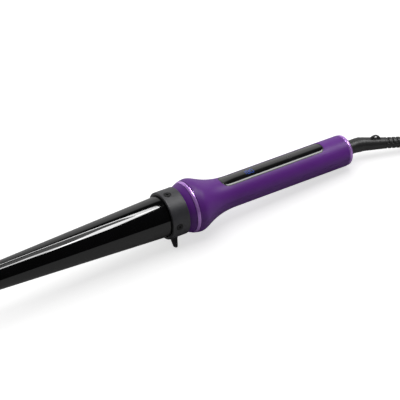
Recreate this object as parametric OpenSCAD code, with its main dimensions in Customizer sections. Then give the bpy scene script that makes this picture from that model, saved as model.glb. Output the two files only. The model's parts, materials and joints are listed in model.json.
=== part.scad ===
// Conical curling wand with a touch-control handle, two rest feet, a swivel
// cord outlet and a mains lead folded into a hank.
// Turned parts are drawn along +X from the collar's front face, then the whole
// wand is set down on its feet and on the rear edge of its handle.

/* [Barrel] */
// Length of the heated barrel in front of the collar
barrel_len = 150; // [100:1:200]
// Radius of the barrel where it leaves the collar
barrel_base_r = 16; // [13:0.5:19]
// Radius of the barrel at its tip end
barrel_tip_r = 9; // [6:0.5:12]
// Wall of the barrel
barrel_wall = 1.2; // [0.8:0.1:2]
// Length of the cool tip
tip_len = 16; // [10:1:24]
// Width of the insulating ring between barrel and cool tip
tip_ring_w = 1.2; // [0.8:0.1:3]

/* [Heater] */
// Length of the two heat spreaders
spreader_len = 118; // [80:1:140]
// Thickness of a heat spreader
spreader_t = 1.2; // [0.8:0.1:2]
// Length of the ceramic heating element
heater_len = 70; // [40:1:90]
// Width of the ceramic heating element
heater_w = 12; // [8:0.5:14]
// Thickness of the ceramic heating element
heater_t = 3; // [2:0.5:5]
// Thickness of the contact pad that carries heat to a spreader
pad_t = 1.5; // [1:0.5:3]

/* [Collar] */
// Wall of the collar outside its seat for the barrel
collar_wall = 2.4; // [2:0.1:4]
// Length of the collar
collar_len = 14.7; // [12:0.1:20]
// Chamfer on the collar's two outer edges
collar_chamfer = 0.5; // [0.2:0.1:1]
// Distance of the collar screws behind its front face
screw_s = 5.2; // [4:0.1:8]
// Radius of a collar screw's head
screw_head_r = 2.3; // [1.8:0.1:3]
// Radius of a collar screw's shank
screw_shank_r = 1.4; // [1:0.1:1.8]

/* [Feet] */
// Angle of each foot from straight down
foot_splay = 28; // [20:1:40]
// Distance of a foot's tip from the wand's axis
foot_reach = 26.3; // [24:0.1:32]
// Width of a foot at its root, along the wand
foot_root_w = 7; // [5:0.5:8]
// Radius of a foot's tip
foot_tip_r = 1.2; // [1:0.1:2]
// Thickness of a foot across the wand
foot_t = 3; // [2.4:0.2:5]

/* [Handle] */
// Largest radius of the flared front
bulge_r = 21; // [18:0.5:24]
// Radius of the slim grip behind the flare
grip_r = 12.6; // [11:0.2:15]
// Radius of the grip at its rear end
grip_end_r = 12.9; // [11.4:0.1:15]
// Where the handle ends, behind the collar's front face
handle_end = 167.6; // [140:1:200]
// Wall of the handle shells
shell_wall = 2.4; // [2:0.1:3]
// Width of the bright trim ring
trim_w = 2.4; // [1:0.1:3]
// Length of the bright ring that closes the handle
rear_ring_len = 3.8; // [3:0.1:6]

/* [Control panel] */
// Where the panel starts, behind the collar's front face
panel_start = 51.5; // [48:0.5:60]
// Length of the panel's opening
panel_len = 95.5; // [80:0.5:100]
// Width of the panel's opening
panel_w = 13; // [10:0.5:15]
// Corner radius of the panel's opening
panel_corner = 5; // [2:0.5:5]
// Thickness of the panel
panel_t = 1.3; // [1:0.1:1.5]
// Width of the dark bezel round the panel
bezel_w = 0.7; // [0.4:0.1:1.2]
// Middle of the temperature display
display_s = 77; // [72:1:90]

/* [Swivel] */
// Radius of the swivel shaft
shaft_r = 5; // [4.5:0.1:5.4]
// Radius of the slip rings
slip_ring_r = 4.6; // [4.2:0.1:5]
// Radius of the outlet boot
boot_r = 5.9; // [5.6:0.1:7]
// Length of the boot's neck behind the rear ring
boot_neck = 14; // [10:0.5:16]
// Length of the boot behind its bend
boot_len = 21.5; // [18:0.5:30]
// Bend of the boot away from the wand's axis
boot_bend = 22; // [5:1:30]
// Turn of the bend's plane below the horizontal
boot_roll = 5; // [0:1:20]
// Radius of the hang loop's hole
loop_hole_r = 1.3; // [1:0.05:1.4]
// Thickness of the hang loop
loop_t = 3; // [2:0.5:4]

/* [Cord and plug] */
// Diameter of the mains cord
cord_d = 6.4; // [5:0.1:7]
// Length of the ribbed strain relief
relief_len = 38; // [24:1:44]
// Radius of the strain relief over its ribs
relief_r = 4.7; // [4.2:0.1:5.5]
// Distance between two ribs of the strain relief
rib_pitch = 3.7; // [3:0.1:4]
// Turns of cord that lie on each other in the hank
hank_layers = 3; // [2:1:4]
// Distance between the hank's two end bends, centre to centre
hank_run = 104; // [90:1:128]
// Radius of a plug pin
plug_pin_r = 2; // [1.8:0.05:2.4]
// Length of a plug pin in front of the plug's face
plug_pin_len = 19; // [17:0.5:20]
// Distance between the two plug pins
plug_pin_gap = 18.6; // [17.5:0.1:20]

/* [Fits] */
// Radial clearance of the turning shaft in its bearing
running_fit = 0.05; // [0.02:0.01:0.1]
// Radial clearance between pieces that are assembled and stay put
assembly_fit = 0.1; // [0.05:0.05:0.3]
// Gap between pieces that turn past each other in the open
open_gap = 0.3; // [0.3:0.05:0.6]

/* [Hidden] */
$fn = 64;

// Barrel
barrel_taper = (barrel_base_r - barrel_tip_r) / barrel_len;
barrel_seat = 12;
function barrel_r(s) = barrel_base_r + min(s, 0) * barrel_taper;
function bore_r(s) = barrel_r(s) - barrel_wall;
tip_plug_len = 8;
tip_round = 5;
tip_screw_r = 1.5;
spreader_start = -20;
spreader_end = spreader_start - spreader_len;
heater_mid = (spreader_start + spreader_end) / 2;
pad_top = bore_r(heater_mid - heater_len / 2) - assembly_fit - spreader_t;

// Collar and feet
collar_bore = barrel_base_r + assembly_fit;
collar_r = collar_bore + collar_wall;
screw_sink = 1.2;
screw_head_t = 1;
mount_len = 29;
mount_wall = 3.4;
mount_r = barrel_base_r - barrel_wall - assembly_fit;
mount_flange_s = 19.6;
mount_flange_t = 2;
foot_s = screw_s + 0.4;

// Handle
handle_start = collar_len + open_gap;
bulge_s = handle_start + 12;
flare_end = bulge_s + 35;
trim_s = bulge_s - 5.4;
trim_depth = 2.2;
lip_r = mount_r + assembly_fit;
rib_s = mount_flange_s + mount_flange_t + assembly_fit;
rib_w = 2;
function bezier(a, b, c, d, t) =
    a * pow(1 - t, 3) + b * 3 * t * pow(1 - t, 2) + c * 3 * pow(t, 2) * (1 - t) + d * pow(t, 3);
rise_steps = 6;
flare_steps = 10;
handle_front_r = bulge_r - 4.4;
rise_points = [
    for (i = [0:rise_steps])
        bezier([handle_front_r, handle_start], [bulge_r - 2.2, handle_start + 3],
               [bulge_r, bulge_s - 4], [bulge_r, bulge_s], i / rise_steps)
];
flare_points = [
    for (i = [1:flare_steps])
        bezier([bulge_r, bulge_s], [bulge_r, bulge_s + 6],
               [grip_r, flare_end - 22], [grip_r, flare_end], i / flare_steps)
];
handle_points = concat(rise_points, flare_points, [[grip_end_r, handle_end]]);
function grip_radius(s) =
    grip_r + (grip_end_r - grip_r) * max(s - flare_end, 0) / (handle_end - flare_end);
function shell_in(s) = grip_radius(s) - shell_wall;

// Panel, display and board
panel_end = panel_start + panel_len;
panel_gap = 0.2;
board_start = panel_start + 11;
board_end = panel_end - 24;
board_w = 15;
board_t = 1.6;
board_z = 3.4;
board_top = board_z + board_t;
shell_screw_s = [panel_start + 5.6, board_end + 4.4];
shell_screw_r = 1.2;
shell_screw_head_r = 2;
boss_r = 2.9;
boss_root = 0.8;
display_len = 11;
display_w = 7;
display_top = grip_r - panel_t - panel_gap;
touch_s = [for (i = [0:3]) display_s + 12 + i * 9];
board_screw_s = [board_start + 3, board_end - 3];
board_screw_y = 4.6;

// Swivel
bearing_end = handle_end - 9.6;
bearing_start = bearing_end - 10;
bearing_r = shell_in(bearing_start) - assembly_fit;
flange_t = 2;
washer_t = 0.4;
flange_r = shaft_r + 2.5;
ring_spigot_s = bearing_end + washer_t + flange_t + 2 * open_gap;
ring_spigot_r = shell_in(ring_spigot_s) - assembly_fit;
rear_end = handle_end + rear_ring_len;
clip_t = 0.8;
clip_s = bearing_start - open_gap - clip_t;
clip_groove_r = shaft_r - 0.6;
carrier_r = slip_ring_r - 1;
slip_ring_w = 2.8;
slip_ring_s = [for (i = [0:1]) clip_s - 5 - i * 5];
shaft_start = slip_ring_s[1] - 2;
brush_r = 0.8;
brush_len = 4.4;
brush_gap = 0.15;
brush_holder_w = 9;
brush_holder_h = 2.6;
lead_r = 0.7;
shaft_bore_r = 2.3;
shaft_end = rear_end + 5;
boot_start = rear_end + open_gap;
bend_s = rear_end + boot_neck;
knuckle_r = boot_r + 0.2;
loop_s = boot_len - 8;
loop_w = 9;
loop_seat_r = boot_r + (relief_r - boot_r) * (loop_s - loop_hole_r) / boot_len;
loop_z = loop_seat_r + loop_hole_r + 0.15;
loop_h = loop_z + loop_hole_r + 0.9;

// Resting pose
foot_drop = foot_reach * cos(foot_splay);
rest_tilt = atan((foot_drop - grip_end_r) / (handle_end - foot_s));
axis_height = foot_drop * cos(rest_tilt) + foot_s * sin(rest_tilt);
front_x = -(barrel_len + tip_ring_w + tip_len) * cos(rest_tilt) - barrel_tip_r / 2 * sin(rest_tilt);
rear_x = bend_s * cos(rest_tilt) + boot_len * cos(boot_bend) + relief_r * sin(boot_bend);
centre_x = (front_x + rear_x) / 2;

// Cord: hand-chosen route, on the surface that the wand rests on
lead_route = [
    [216, -20.5, 6.7], [221, -22.5, 6.2], [229, -25.2, 5.4], [237, -27, 4.5], [245, -27.8, 3.8],
    [253, -27.6, 3.3], [261, -27, 3.2], [269, -26.2, 3.2], [276, -25.6, 3.2]
];
tail_route = [
    [402, -24.4, 3.2], [407, -22.6, 3.5], [412, -19.8, 4.4], [417.5, -16.6, 5.7], [422.5, -14.5, 6.4],
    [427, -14, 6.5], [432, -14, 6.5]
];
cord_sides = 10;
hank_mid = [340, 0];
hank_columns = 2;
fold_r = 3 * cord_d;
tie_w = 14;
tie_t = 1;
tie_round = 3;
hank_h = hank_layers * cord_d;
waist_half = hank_columns * cord_d;
end_half = fold_r + (hank_columns - 0.5) * cord_d;
relief_ribs = floor((relief_len - 8) / rib_pitch);

// Plug, on the surface beyond the hank
plug_x = 440;
plug_y = -14;
plug_len = 34;
plug_w = 35;
plug_h = 13;
plug_corner = 4;
sleeve_len = 10;
sleeve_r = plug_pin_r - 0.2;
pin_core_r = plug_pin_r - 0.4;
pin_seat = 6;
pin_tip = 1;

// Draws along the wand what its children draw along Z
module turned() rotate([0, 90, 0]) children();

// Sets the wand down on its feet and on the rear edge of its handle
module at_rest() translate([-centre_x, 0, axis_height]) rotate([0, rest_tilt, 0]) children();

// Frame of the boot behind its bend, with X along the boot
module behind_bend()
    translate([bend_s, 0, 0]) rotate([boot_roll, 0, 0]) rotate([0, 0, -boot_bend]) children();

module ring_part(inner_r, outer_r, start, length)
    turned() rotate_extrude()
        translate([inner_r, start]) square([outer_r - inner_r, length]);

module rod(r, start, length) turned() translate([0, 0, start]) cylinder(r = r, h = length);

// Radial repeats round the wand's axis, the first one straight up
module around(count) for (i = [0:count - 1]) rotate([i * 360 / count, 0, 0]) children();

// Rectangle with round corners, centred across and starting at x = 0
module rounded_bar(length, width, corner) {
    translate([corner, -width / 2]) square([length - 2 * corner, width]);
    translate([0, corner - width / 2]) square([length, width - 2 * corner]);
    for (x = [corner, length - corner], y = [-1, 1])
        translate([x, y * (width / 2 - corner)]) circle(r = corner);
}

module barrel()
    color("#141416") at_rest() difference() {
        turned() rotate_extrude() polygon([
            [bore_r(-barrel_len), -barrel_len], [barrel_tip_r, -barrel_len],
            [barrel_base_r, 0], [barrel_base_r, barrel_seat],
            [bore_r(0), barrel_seat], [bore_r(0), 0]
        ]);
        around(4) translate([screw_s, 0, 0]) cylinder(r = screw_shank_r + assembly_fit, h = collar_r);
    }

module cool_tip()
    color("#1b1b1d") at_rest() difference() {
        union() {
            turned() rotate_extrude() polygon(concat(
                [[0, -barrel_len - tip_ring_w]],
                [[barrel_tip_r, -barrel_len - tip_ring_w]],
                [for (a = [0:10:90]) [
                    barrel_tip_r - tip_round + tip_round * cos(a),
                    -barrel_len - tip_ring_w - tip_len + tip_round - tip_round * sin(a)
                ]],
                [[0, -barrel_len - tip_ring_w - tip_len]]
            ));
            rod(bore_r(-barrel_len) - assembly_fit, -barrel_len - tip_ring_w, tip_plug_len);
        }
        rod(tip_screw_r + assembly_fit, -barrel_len - tip_len / 2, tip_len);
    }

module tip_ring()
    color("#3a3a3d") at_rest()
        ring_part(bore_r(-barrel_len), barrel_tip_r - 0.25, -barrel_len - tip_ring_w, tip_ring_w);

module tip_screw()
    color("silver") at_rest() {
        rod(tip_screw_r, -barrel_len - tip_len / 2 + 1, tip_len / 2 + tip_plug_len);
        rod(tip_screw_r * 2, -barrel_len - tip_ring_w + tip_plug_len + assembly_fit, 1.6);
    }

// Half of the lining that presses against the inside of the barrel
module spreader()
    intersection() {
        turned() rotate_extrude() polygon([
            for (edge = [[spreader_end, 0], [spreader_start, 0], [spreader_start, 1], [spreader_end, 1]])
                [bore_r(edge[0]) - assembly_fit - edge[1] * spreader_t, edge[0]]
        ]);
        translate([spreader_end - 1, -collar_r, 0.5]) cube([spreader_len + 2, 2 * collar_r, collar_r]);
    }

module spreader_upper() color("#b9bcc0") at_rest() spreader();

module spreader_lower() color("#a9acb0") at_rest() mirror([0, 0, 1]) spreader();

module heater_element()
    color("#e8e2d0") at_rest()
        translate([heater_mid - heater_len / 2, -heater_w / 2, -heater_t / 2])
            cube([heater_len, heater_w, heater_t]);

module heater_pads()
    color("#c8c9cc") at_rest()
        for (side = [0, 1]) mirror([0, 0, side])
            translate([heater_mid - heater_len / 2, 0, 0]) {
                translate([0, -heater_w / 2, heater_t / 2]) cube([heater_len, heater_w, pad_t]);
                translate([0, -pad_t / 2, heater_t / 2])
                    cube([heater_len, pad_t, pad_top - heater_t / 2 - 0.3]);
            }

module temperature_sensor()
    color("#d9a441") at_rest()
        translate([0, -heater_w / 2 - 1.2, 0]) rod(0.9, heater_mid, 6);

module thermal_fuse()
    color("#d8d8da") at_rest()
        translate([0, 0, -heater_t / 2 - pad_t - 5]) rod(1.6, spreader_start - 14, 10);

module heater_leads()
    color("#d9d4c6") at_rest()
        for (side = [-1, 1])
            translate([0, side * 4.2, 0])
                rod(0.9, heater_mid + heater_len / 2, board_start + 1 - heater_mid - heater_len / 2);

module barrel_mount()
    color("#5b4632") at_rest() difference() {
        turned() rotate_extrude() polygon([
            [mount_r - mount_wall, 1.5], [mount_r, 1.5],
            [mount_r, mount_flange_s], [mount_r + 2, mount_flange_s],
            [mount_r + 2, mount_flange_s + mount_flange_t],
            [mount_r - 0.3, mount_flange_s + mount_flange_t],
            [mount_r - 0.3, mount_len], [mount_r - mount_wall, mount_len]
        ]);
        around(4) translate([screw_s, 0, 0]) cylinder(r = screw_shank_r + assembly_fit, h = collar_r);
    }

module heat_shield()
    color("#c4c6c8") at_rest()
        ring_part(lip_r + assembly_fit, collar_bore - assembly_fit, barrel_seat + assembly_fit, 0.8);

// Side view of a foot: a root as wide as it is stated, narrowing to a round tip
module foot_outline() {
    tip_z = -foot_reach - 0.4 + foot_tip_r;
    root_z = -collar_bore - collar_wall / 2;
    polygon(concat(
        [[foot_s + 0.4 - foot_root_w / 2, root_z]],
        [for (a = [195:15:345]) [foot_s + foot_tip_r * cos(a), tip_z + foot_tip_r * sin(a)]],
        [[foot_s + 0.4 + foot_root_w / 2, root_z]]
    ));
}

module collar()
    color("#3f4044") difference() {
        at_rest() difference() {
            union() {
                turned() rotate_extrude() polygon([
                    [collar_bore, 0], [collar_r - collar_chamfer, 0], [collar_r, collar_chamfer],
                    [collar_r, collar_len - collar_chamfer],
                    [collar_r - collar_chamfer, collar_len], [collar_bore, collar_len]
                ]);
                for (side = [-1, 1])
                    rotate([side * foot_splay, 0, 0]) translate([0, foot_t / 2, 0])
                        rotate([90, 0, 0]) linear_extrude(foot_t) foot_outline();
            }
            around(4) translate([screw_s, 0, 0]) {
                cylinder(r = screw_shank_r + assembly_fit, h = collar_r + 1);
                translate([0, 0, collar_r - screw_sink])
                    cylinder(r = screw_head_r + assembly_fit, h = screw_sink + 1);
            }
        }
        translate([-500, -500, -50]) cube([1000, 1000, 50]);
    }

module collar_screws()
    color("#2b2c2e") at_rest() around(4) translate([screw_s, 0, collar_r - screw_sink])
        difference() {
            union() {
                cylinder(r = screw_head_r, h = screw_head_t);
                mirror([0, 0, 1]) cylinder(r = screw_shank_r, h = collar_wall + mount_wall);
            }
            translate([0, 0, screw_head_t - 0.6]) cylinder(r = 1.2, h = 1, $fn = 6);
        }

// Closed solid inside the handle's outer surface, drawn in by the inset
module handle_form(inset)
    turned() rotate_extrude() polygon(concat(
        [[0, handle_start]],
        [for (p = handle_points) [p[0] - inset, p[1]]],
        [[0, handle_end]]
    ));

// Whole handle wall with its front lip, the mount's rib and the trim groove
module handle_wall()
    difference() {
        union() {
            turned() rotate_extrude() polygon(concat(
                handle_points,
                [[grip_end_r - shell_wall, handle_end]],
                [for (i = [len(handle_points) - 2:-1:2])
                    [handle_points[i][0] - shell_wall, handle_points[i][1]]],
                [[lip_r + 1.8, handle_start + 2], [lip_r, handle_start + 2], [lip_r, handle_start]]
            ));
            ring_part(mount_r, bulge_r - shell_wall + 0.2, rib_s, rib_w);
        }
        ring_part(bulge_r - trim_depth, bulge_r + 1, trim_s - trim_w / 2, trim_w);
    }

module panel_opening(margin)
    translate([panel_start + margin, 0, 0]) linear_extrude(bulge_r)
        rounded_bar(panel_len - 2 * margin, panel_w - 2 * margin, panel_corner - margin);

// Space above or below the seam between the two shells
module half_space(upper)
    translate([0, -50, upper ? 0.02 : -50.02]) cube([handle_end + 10, 100, 50]);

module handle_top()
    color("#5f2d86") at_rest() difference() {
        union() {
            intersection() {
                handle_wall();
                half_space(true);
            }
            for (s = shell_screw_s)
                translate([s, 0, 0.2]) cylinder(r = boss_r, h = shell_in(s) + boss_root - 0.2);
        }
        difference() {
            panel_opening(0);
            handle_form(panel_t + panel_gap);
        }
        translate([display_s - display_len / 2 - 0.3, -display_w / 2 - 0.3, 0])
            cube([display_len + 0.6, display_w + 0.6, bulge_r]);
        for (s = touch_s) translate([s, 0, 0]) cylinder(r = 1.9, h = bulge_r);
        for (s = shell_screw_s) translate([s, 0, 0]) {
            cylinder(r = shell_screw_r + assembly_fit, h = bulge_r);
            translate([0, 0, shell_in(s) - 0.6])
                cylinder(r = shell_screw_head_r + assembly_fit, h = bulge_r);
        }
    }

module handle_bottom()
    color("#582a7c") at_rest() difference() {
        union() {
            intersection() {
                handle_wall();
                half_space(false);
            }
            for (s = shell_screw_s)
                translate([s, 0, -shell_in(s) - boss_root])
                    cylinder(r = boss_r, h = shell_in(s) + boss_root - 0.1);
            for (s = board_screw_s, side = [-1, 1])
                translate([s, side * board_screw_y, -shell_in(s)])
                    cylinder(r = 1.7, h = shell_in(s) + board_z);
        }
        for (s = shell_screw_s)
            translate([s, 0, -6]) cylinder(r = shell_screw_r + assembly_fit, h = 7);
        for (s = board_screw_s, side = [-1, 1])
            translate([s, side * board_screw_y, board_z - 5]) cylinder(r = 0.9, h = 6);
    }

module shell_screws()
    color("silver") at_rest() for (s = shell_screw_s) {
        translate([s, 0, -5]) cylinder(r = shell_screw_r, h = shell_in(s) + 4.5);
        translate([s, 0, shell_in(s) - 0.6]) cylinder(r = shell_screw_head_r, h = 1);
    }

module trim_ring()
    color("#b57ce0") at_rest() intersection() {
        handle_form(-0.15);
        ring_part(bulge_r - trim_depth + assembly_fit, bulge_r + 1,
                  trim_s - trim_w / 2 + 0.05, trim_w - 0.1);
    }

module rear_ring()
    color("#b57ce0") at_rest() turned() rotate_extrude() polygon([
        [shaft_r + open_gap, ring_spigot_s], [ring_spigot_r, ring_spigot_s],
        [ring_spigot_r, handle_end + 0.05], [grip_end_r - 0.1, handle_end + 0.05],
        [grip_end_r - 0.3, handle_end + 1], [grip_end_r - 1.5, rear_end - 0.4],
        [grip_end_r - 2, rear_end], [shaft_r + open_gap, rear_end]
    ]);

module touch_panel()
    color("#0b0b0d") at_rest() intersection() {
        difference() {
            handle_form(0);
            handle_form(panel_t);
        }
        panel_opening(bezel_w + panel_gap);
    }

module panel_bezel()
    color("#1f1a24") at_rest() difference() {
        intersection() {
            difference() {
                handle_form(0.2);
                handle_form(panel_t);
            }
            panel_opening(assembly_fit);
        }
        panel_opening(bezel_w + assembly_fit);
    }

module display_module()
    color("#20242c") at_rest()
        translate([display_s - display_len / 2, -display_w / 2, board_top])
            cube([display_len, display_w, sqrt(pow(display_top, 2) - pow(display_w / 2, 2)) - board_top]);

module touch_springs()
    color("#c9b27a") at_rest() for (s = touch_s)
        translate([s, 0, board_top]) difference() {
            cylinder(r = 1.5, h = display_top - board_top - 0.1);
            translate([0, 0, 0.4]) cylinder(r = 1.1, h = display_top);
        }

module control_board()
    color("#1f5a3a") at_rest() difference() {
        translate([board_start, -board_w / 2, board_z])
            cube([board_end - board_start, board_w, board_t]);
        for (s = board_screw_s, side = [-1, 1])
            translate([s, side * board_screw_y, board_z - 1]) cylinder(r = 1, h = board_t + 2);
    }

module board_screws()
    color("silver") at_rest() for (s = board_screw_s, side = [-1, 1])
        translate([s, side * board_screw_y, 0]) {
            translate([0, 0, board_top]) cylinder(r = 1.5, h = 0.9);
            translate([0, 0, board_top - 5]) cylinder(r = 0.8, h = 5);
        }

module power_switch_chip()
    color("#26272a") at_rest() translate([board_end - 24, -4.5, board_z - 4]) cube([13, 9, 4]);

module controller_chip()
    color("#2a2b2e") at_rest() translate([board_start + 6, -3, board_z - 1.6]) cube([8, 6, 1.6]);

module capacitor()
    color("#a8672a") at_rest() translate([board_start + 20, -5, board_z - 8]) cube([14, 10, 8]);

module brush_holder()
    color("#d8d2c2") at_rest() difference() {
        translate([slip_ring_s[1] - 1, -brush_holder_w / 2, slip_ring_r + 1.4])
            cube([slip_ring_s[0] - slip_ring_s[1] + slip_ring_w + 2, brush_holder_w, brush_holder_h]);
        for (s = slip_ring_s) translate([s + slip_ring_w / 2, 0, 0])
            cylinder(r = brush_r + assembly_fit, h = bulge_r);
    }

module brushes()
    color("#c58a4a") at_rest() for (s = slip_ring_s)
        translate([s + slip_ring_w / 2, 0, slip_ring_r + brush_gap]) cylinder(r = brush_r, h = brush_len);

module board_leads()
    color("#b3342d") at_rest() for (side = [-1, 1])
        translate([0, side * 6.2, board_top + lead_r])
            rod(lead_r, board_end - 1, slip_ring_s[1] - board_end);

module swivel_bearing()
    color("#cfc9ba") at_rest()
        ring_part(shaft_r + running_fit, bearing_r, bearing_start, bearing_end - bearing_start);

module swivel_shaft()
    color("#8d9094") at_rest() turned() rotate_extrude() polygon([
        [shaft_bore_r, shaft_start], [carrier_r, shaft_start], [carrier_r, clip_s - 1],
        [shaft_r, clip_s - 1], [shaft_r, clip_s], [clip_groove_r, clip_s],
        [clip_groove_r, clip_s + clip_t], [shaft_r, clip_s + clip_t],
        [shaft_r, bearing_end + washer_t + open_gap], [flange_r, bearing_end + washer_t + open_gap],
        [flange_r, bearing_end + washer_t + open_gap + flange_t],
        [shaft_r, bearing_end + washer_t + open_gap + flange_t],
        [shaft_r, shaft_end], [shaft_bore_r, shaft_end]
    ]);

module slip_rings()
    color("#c9a24a") at_rest() for (s = slip_ring_s)
        ring_part(carrier_r + 0.02, slip_ring_r, s, slip_ring_w);

module retaining_clip()
    color("#55575a") at_rest()
        ring_part(clip_groove_r + 0.02, shaft_r + 1.4, clip_s + 0.05, clip_t - 0.1);

module shaft_washer()
    color("#e6e3da") at_rest()
        ring_part(shaft_r + 0.02, flange_r, bearing_end + open_gap - 0.1, washer_t);

module swivel_leads()
    color("#3b6fb5") at_rest() for (side = [-1, 1])
        translate([0, side * 1.1, 0]) rod(0.9, shaft_start + 2, bend_s - shaft_start - 6);

// Side view of the hang loop: a low arch over the boot
module loop_outline()
    polygon([
        [-loop_w / 2, 0], [-loop_w / 2, boot_r - 1.4], [-loop_w / 4, loop_h - 0.4], [-loop_w / 6, loop_h],
        [loop_w / 6, loop_h], [loop_w / 4, loop_h - 0.4], [loop_w / 2, boot_r - 1.4], [loop_w / 2, 0]
    ]);

module cord_boot()
    color("#262729") at_rest() difference() {
        union() {
            rod(boot_r - 0.1, boot_start, bend_s - boot_start);
            translate([bend_s, 0, 0]) sphere(r = knuckle_r);
            behind_bend() {
                turned() cylinder(r1 = boot_r, r2 = relief_r, h = boot_len);
                translate([loop_s, loop_t / 2, 0]) rotate([90, 0, 0])
                    linear_extrude(loop_t) loop_outline();
            }
        }
        rod(shaft_r + 0.02, boot_start - 1, shaft_end - boot_start + 1.2);
        rod(shaft_bore_r, boot_start, bend_s - boot_start - 2);
        behind_bend() translate([loop_s, loop_t, loop_z]) rotate([90, 0, 0])
            cylinder(r = loop_hole_r, h = 2 * loop_t);
    }

module strain_relief()
    color("#202123") at_rest() behind_bend() difference() {
        union() {
            rod(relief_r - 0.9, boot_len, relief_len);
            rod(relief_r, boot_len, 2);
            for (i = [0:relief_ribs - 1])
                rod(relief_r - 0.02 * i, boot_len + 3.4 + i * rib_pitch, rib_pitch * 0.62);
            rod(relief_r - 0.5, boot_len + relief_len - 2.4, 2.4);
        }
        rod(cord_d / 2 + 0.25, boot_len + relief_len - 6, 7);
    }

// Round section swept along the points of a route
function unit(v) = v / norm(v);
function tangent(p, i) = unit(p[min(i + 1, len(p) - 1)] - p[max(i - 1, 0)]);
function sweep_ring(p, i, r, sides) =
    let (t = tangent(p, i), side = unit(cross([0, 0, 1], t)), up = cross(t, side))
    [for (k = [0:sides - 1])
        p[i] + r * cos(k * 360 / sides) * side + r * sin(k * 360 / sides) * up];

module swept_cord(route, sides) {
    rings = len(route);
    polyhedron(
        points = [for (i = [0:rings - 1]) each sweep_ring(route, i, cord_d / 2, sides)],
        faces = concat(
            [[for (k = [0:sides - 1]) k]],
            [for (i = [0:rings - 2], k = [0:sides - 1])
                let (n = (k + 1) % sides)
                [i * sides + k, (i + 1) * sides + k, (i + 1) * sides + n, i * sides + n]],
            [[for (k = [sides - 1:-1:0]) (rings - 1) * sides + k]]
        )
    );
}

module cord_lead() color("#18191b") swept_cord(lead_route, cord_sides);

module cord_tail() color("#18191b") swept_cord(tail_route, cord_sides);

// Outline of the hank: two round ends and a waist that the tie draws in
module hank_outline() {
    steps = 12;
    half = hank_run / 2;
    side = [for (i = [-steps:steps])
        [half * i / steps, waist_half + (end_half - waist_half) * (1 - cos(180 * abs(i) / steps)) / 2]];
    ends = [for (a = [82.5:-7.5:-82.5]) [half + end_half * cos(a), end_half * sin(a)]];
    polygon(concat(
        side, ends, [for (p = side) -p], [for (p = ends) -p]
    ));
}

module cord_hank()
    color("#18191b") difference() {
        translate([hank_mid[0], hank_mid[1], 0]) linear_extrude(hank_h + tie_t) hank_outline();
        tie_band(0);
    }

module tie_section(grow) {
    w = 2 * (waist_half + 0.4 + grow);
    h = hank_h + tie_t + 0.4 + 2 * grow;
    translate([-w / 2, 0]) rounded_bar_up(w, h, tie_round);
}

module rounded_bar_up(w, h, corner)
    translate([0, h / 2]) rounded_bar(w, h, corner);

module tie_band(extra)
    translate([hank_mid[0] - tie_w / 2, hank_mid[1], 0]) rotate([90, 0, 90]) linear_extrude(tie_w)
        difference() {
            tie_section(tie_t);
            translate([0, tie_t]) tie_section(extra);
        }

module cord_tie() color("#3a3b3f") tie_band(0);

module at_plug() translate([plug_x, plug_y, plug_h / 2]) children();

module plug_body()
    color("#1d1e20") at_plug() difference() {
        rotate([90, 0, 0]) translate([0, 0, -plug_w / 2]) linear_extrude(plug_w)
            rounded_bar(plug_len, plug_h, plug_corner);
        for (side = [-1, 1]) translate([0, side * plug_pin_gap / 2, 0])
            rod(pin_core_r, plug_len - pin_seat, pin_seat + 1);
    }

module plug_relief()
    color("#1d1e20") at_plug() difference() {
        rod(cord_d / 2 + 1.4, -14, 14);
        rod(cord_d / 2 + 0.25, -15, 8);
    }

module plug_pins()
    color("#c9ccd0") at_plug() for (side = [-1, 1])
        translate([0, side * plug_pin_gap / 2, 0]) turned() rotate_extrude() polygon([
            [0, plug_len - pin_seat], [pin_core_r, plug_len - pin_seat],
            [pin_core_r, plug_len + sleeve_len], [plug_pin_r, plug_len + sleeve_len],
            [plug_pin_r, plug_len + plug_pin_len - pin_tip],
            [plug_pin_r / 2, plug_len + plug_pin_len], [0, plug_len + plug_pin_len]
        ]);

module plug_sleeves()
    color("#1d1e20") at_plug() for (side = [-1, 1])
        translate([0, side * plug_pin_gap / 2, 0])
            ring_part(pin_core_r, sleeve_r, plug_len, sleeve_len);

barrel();
cool_tip();
tip_ring();
tip_screw();
spreader_upper();
spreader_lower();
heater_element();
heater_pads();
temperature_sensor();
thermal_fuse();
heater_leads();
barrel_mount();
heat_shield();
collar();
collar_screws();
handle_top();
handle_bottom();
trim_ring();
rear_ring();
shell_screws();
touch_panel();
panel_bezel();
display_module();
touch_springs();
control_board();
board_screws();
power_switch_chip();
controller_chip();
capacitor();
brush_holder();
brushes();
board_leads();
swivel_bearing();
swivel_shaft();
slip_rings();
retaining_clip();
shaft_washer();
swivel_leads();
cord_boot();
strain_relief();
cord_lead();
cord_hank();
cord_tie();
cord_tail();
plug_body();
plug_relief();
plug_pins();
plug_sleeves();
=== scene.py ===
# %% [markdown]
# # A conical curling wand, from its fixed frame to its finishes
# The wand is a black tapered barrel on a purple handle, with a charcoal collar that carries two rest
# feet, a touch panel, a swivel outlet and a folded mains lead. Its engineering model is loaded first.
# It is the fixed frame: every piece made here takes its place from it and rides on one of its bodies.

import json
import math

import bmesh
import bpy
from mathutils import Matrix, Vector

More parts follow.
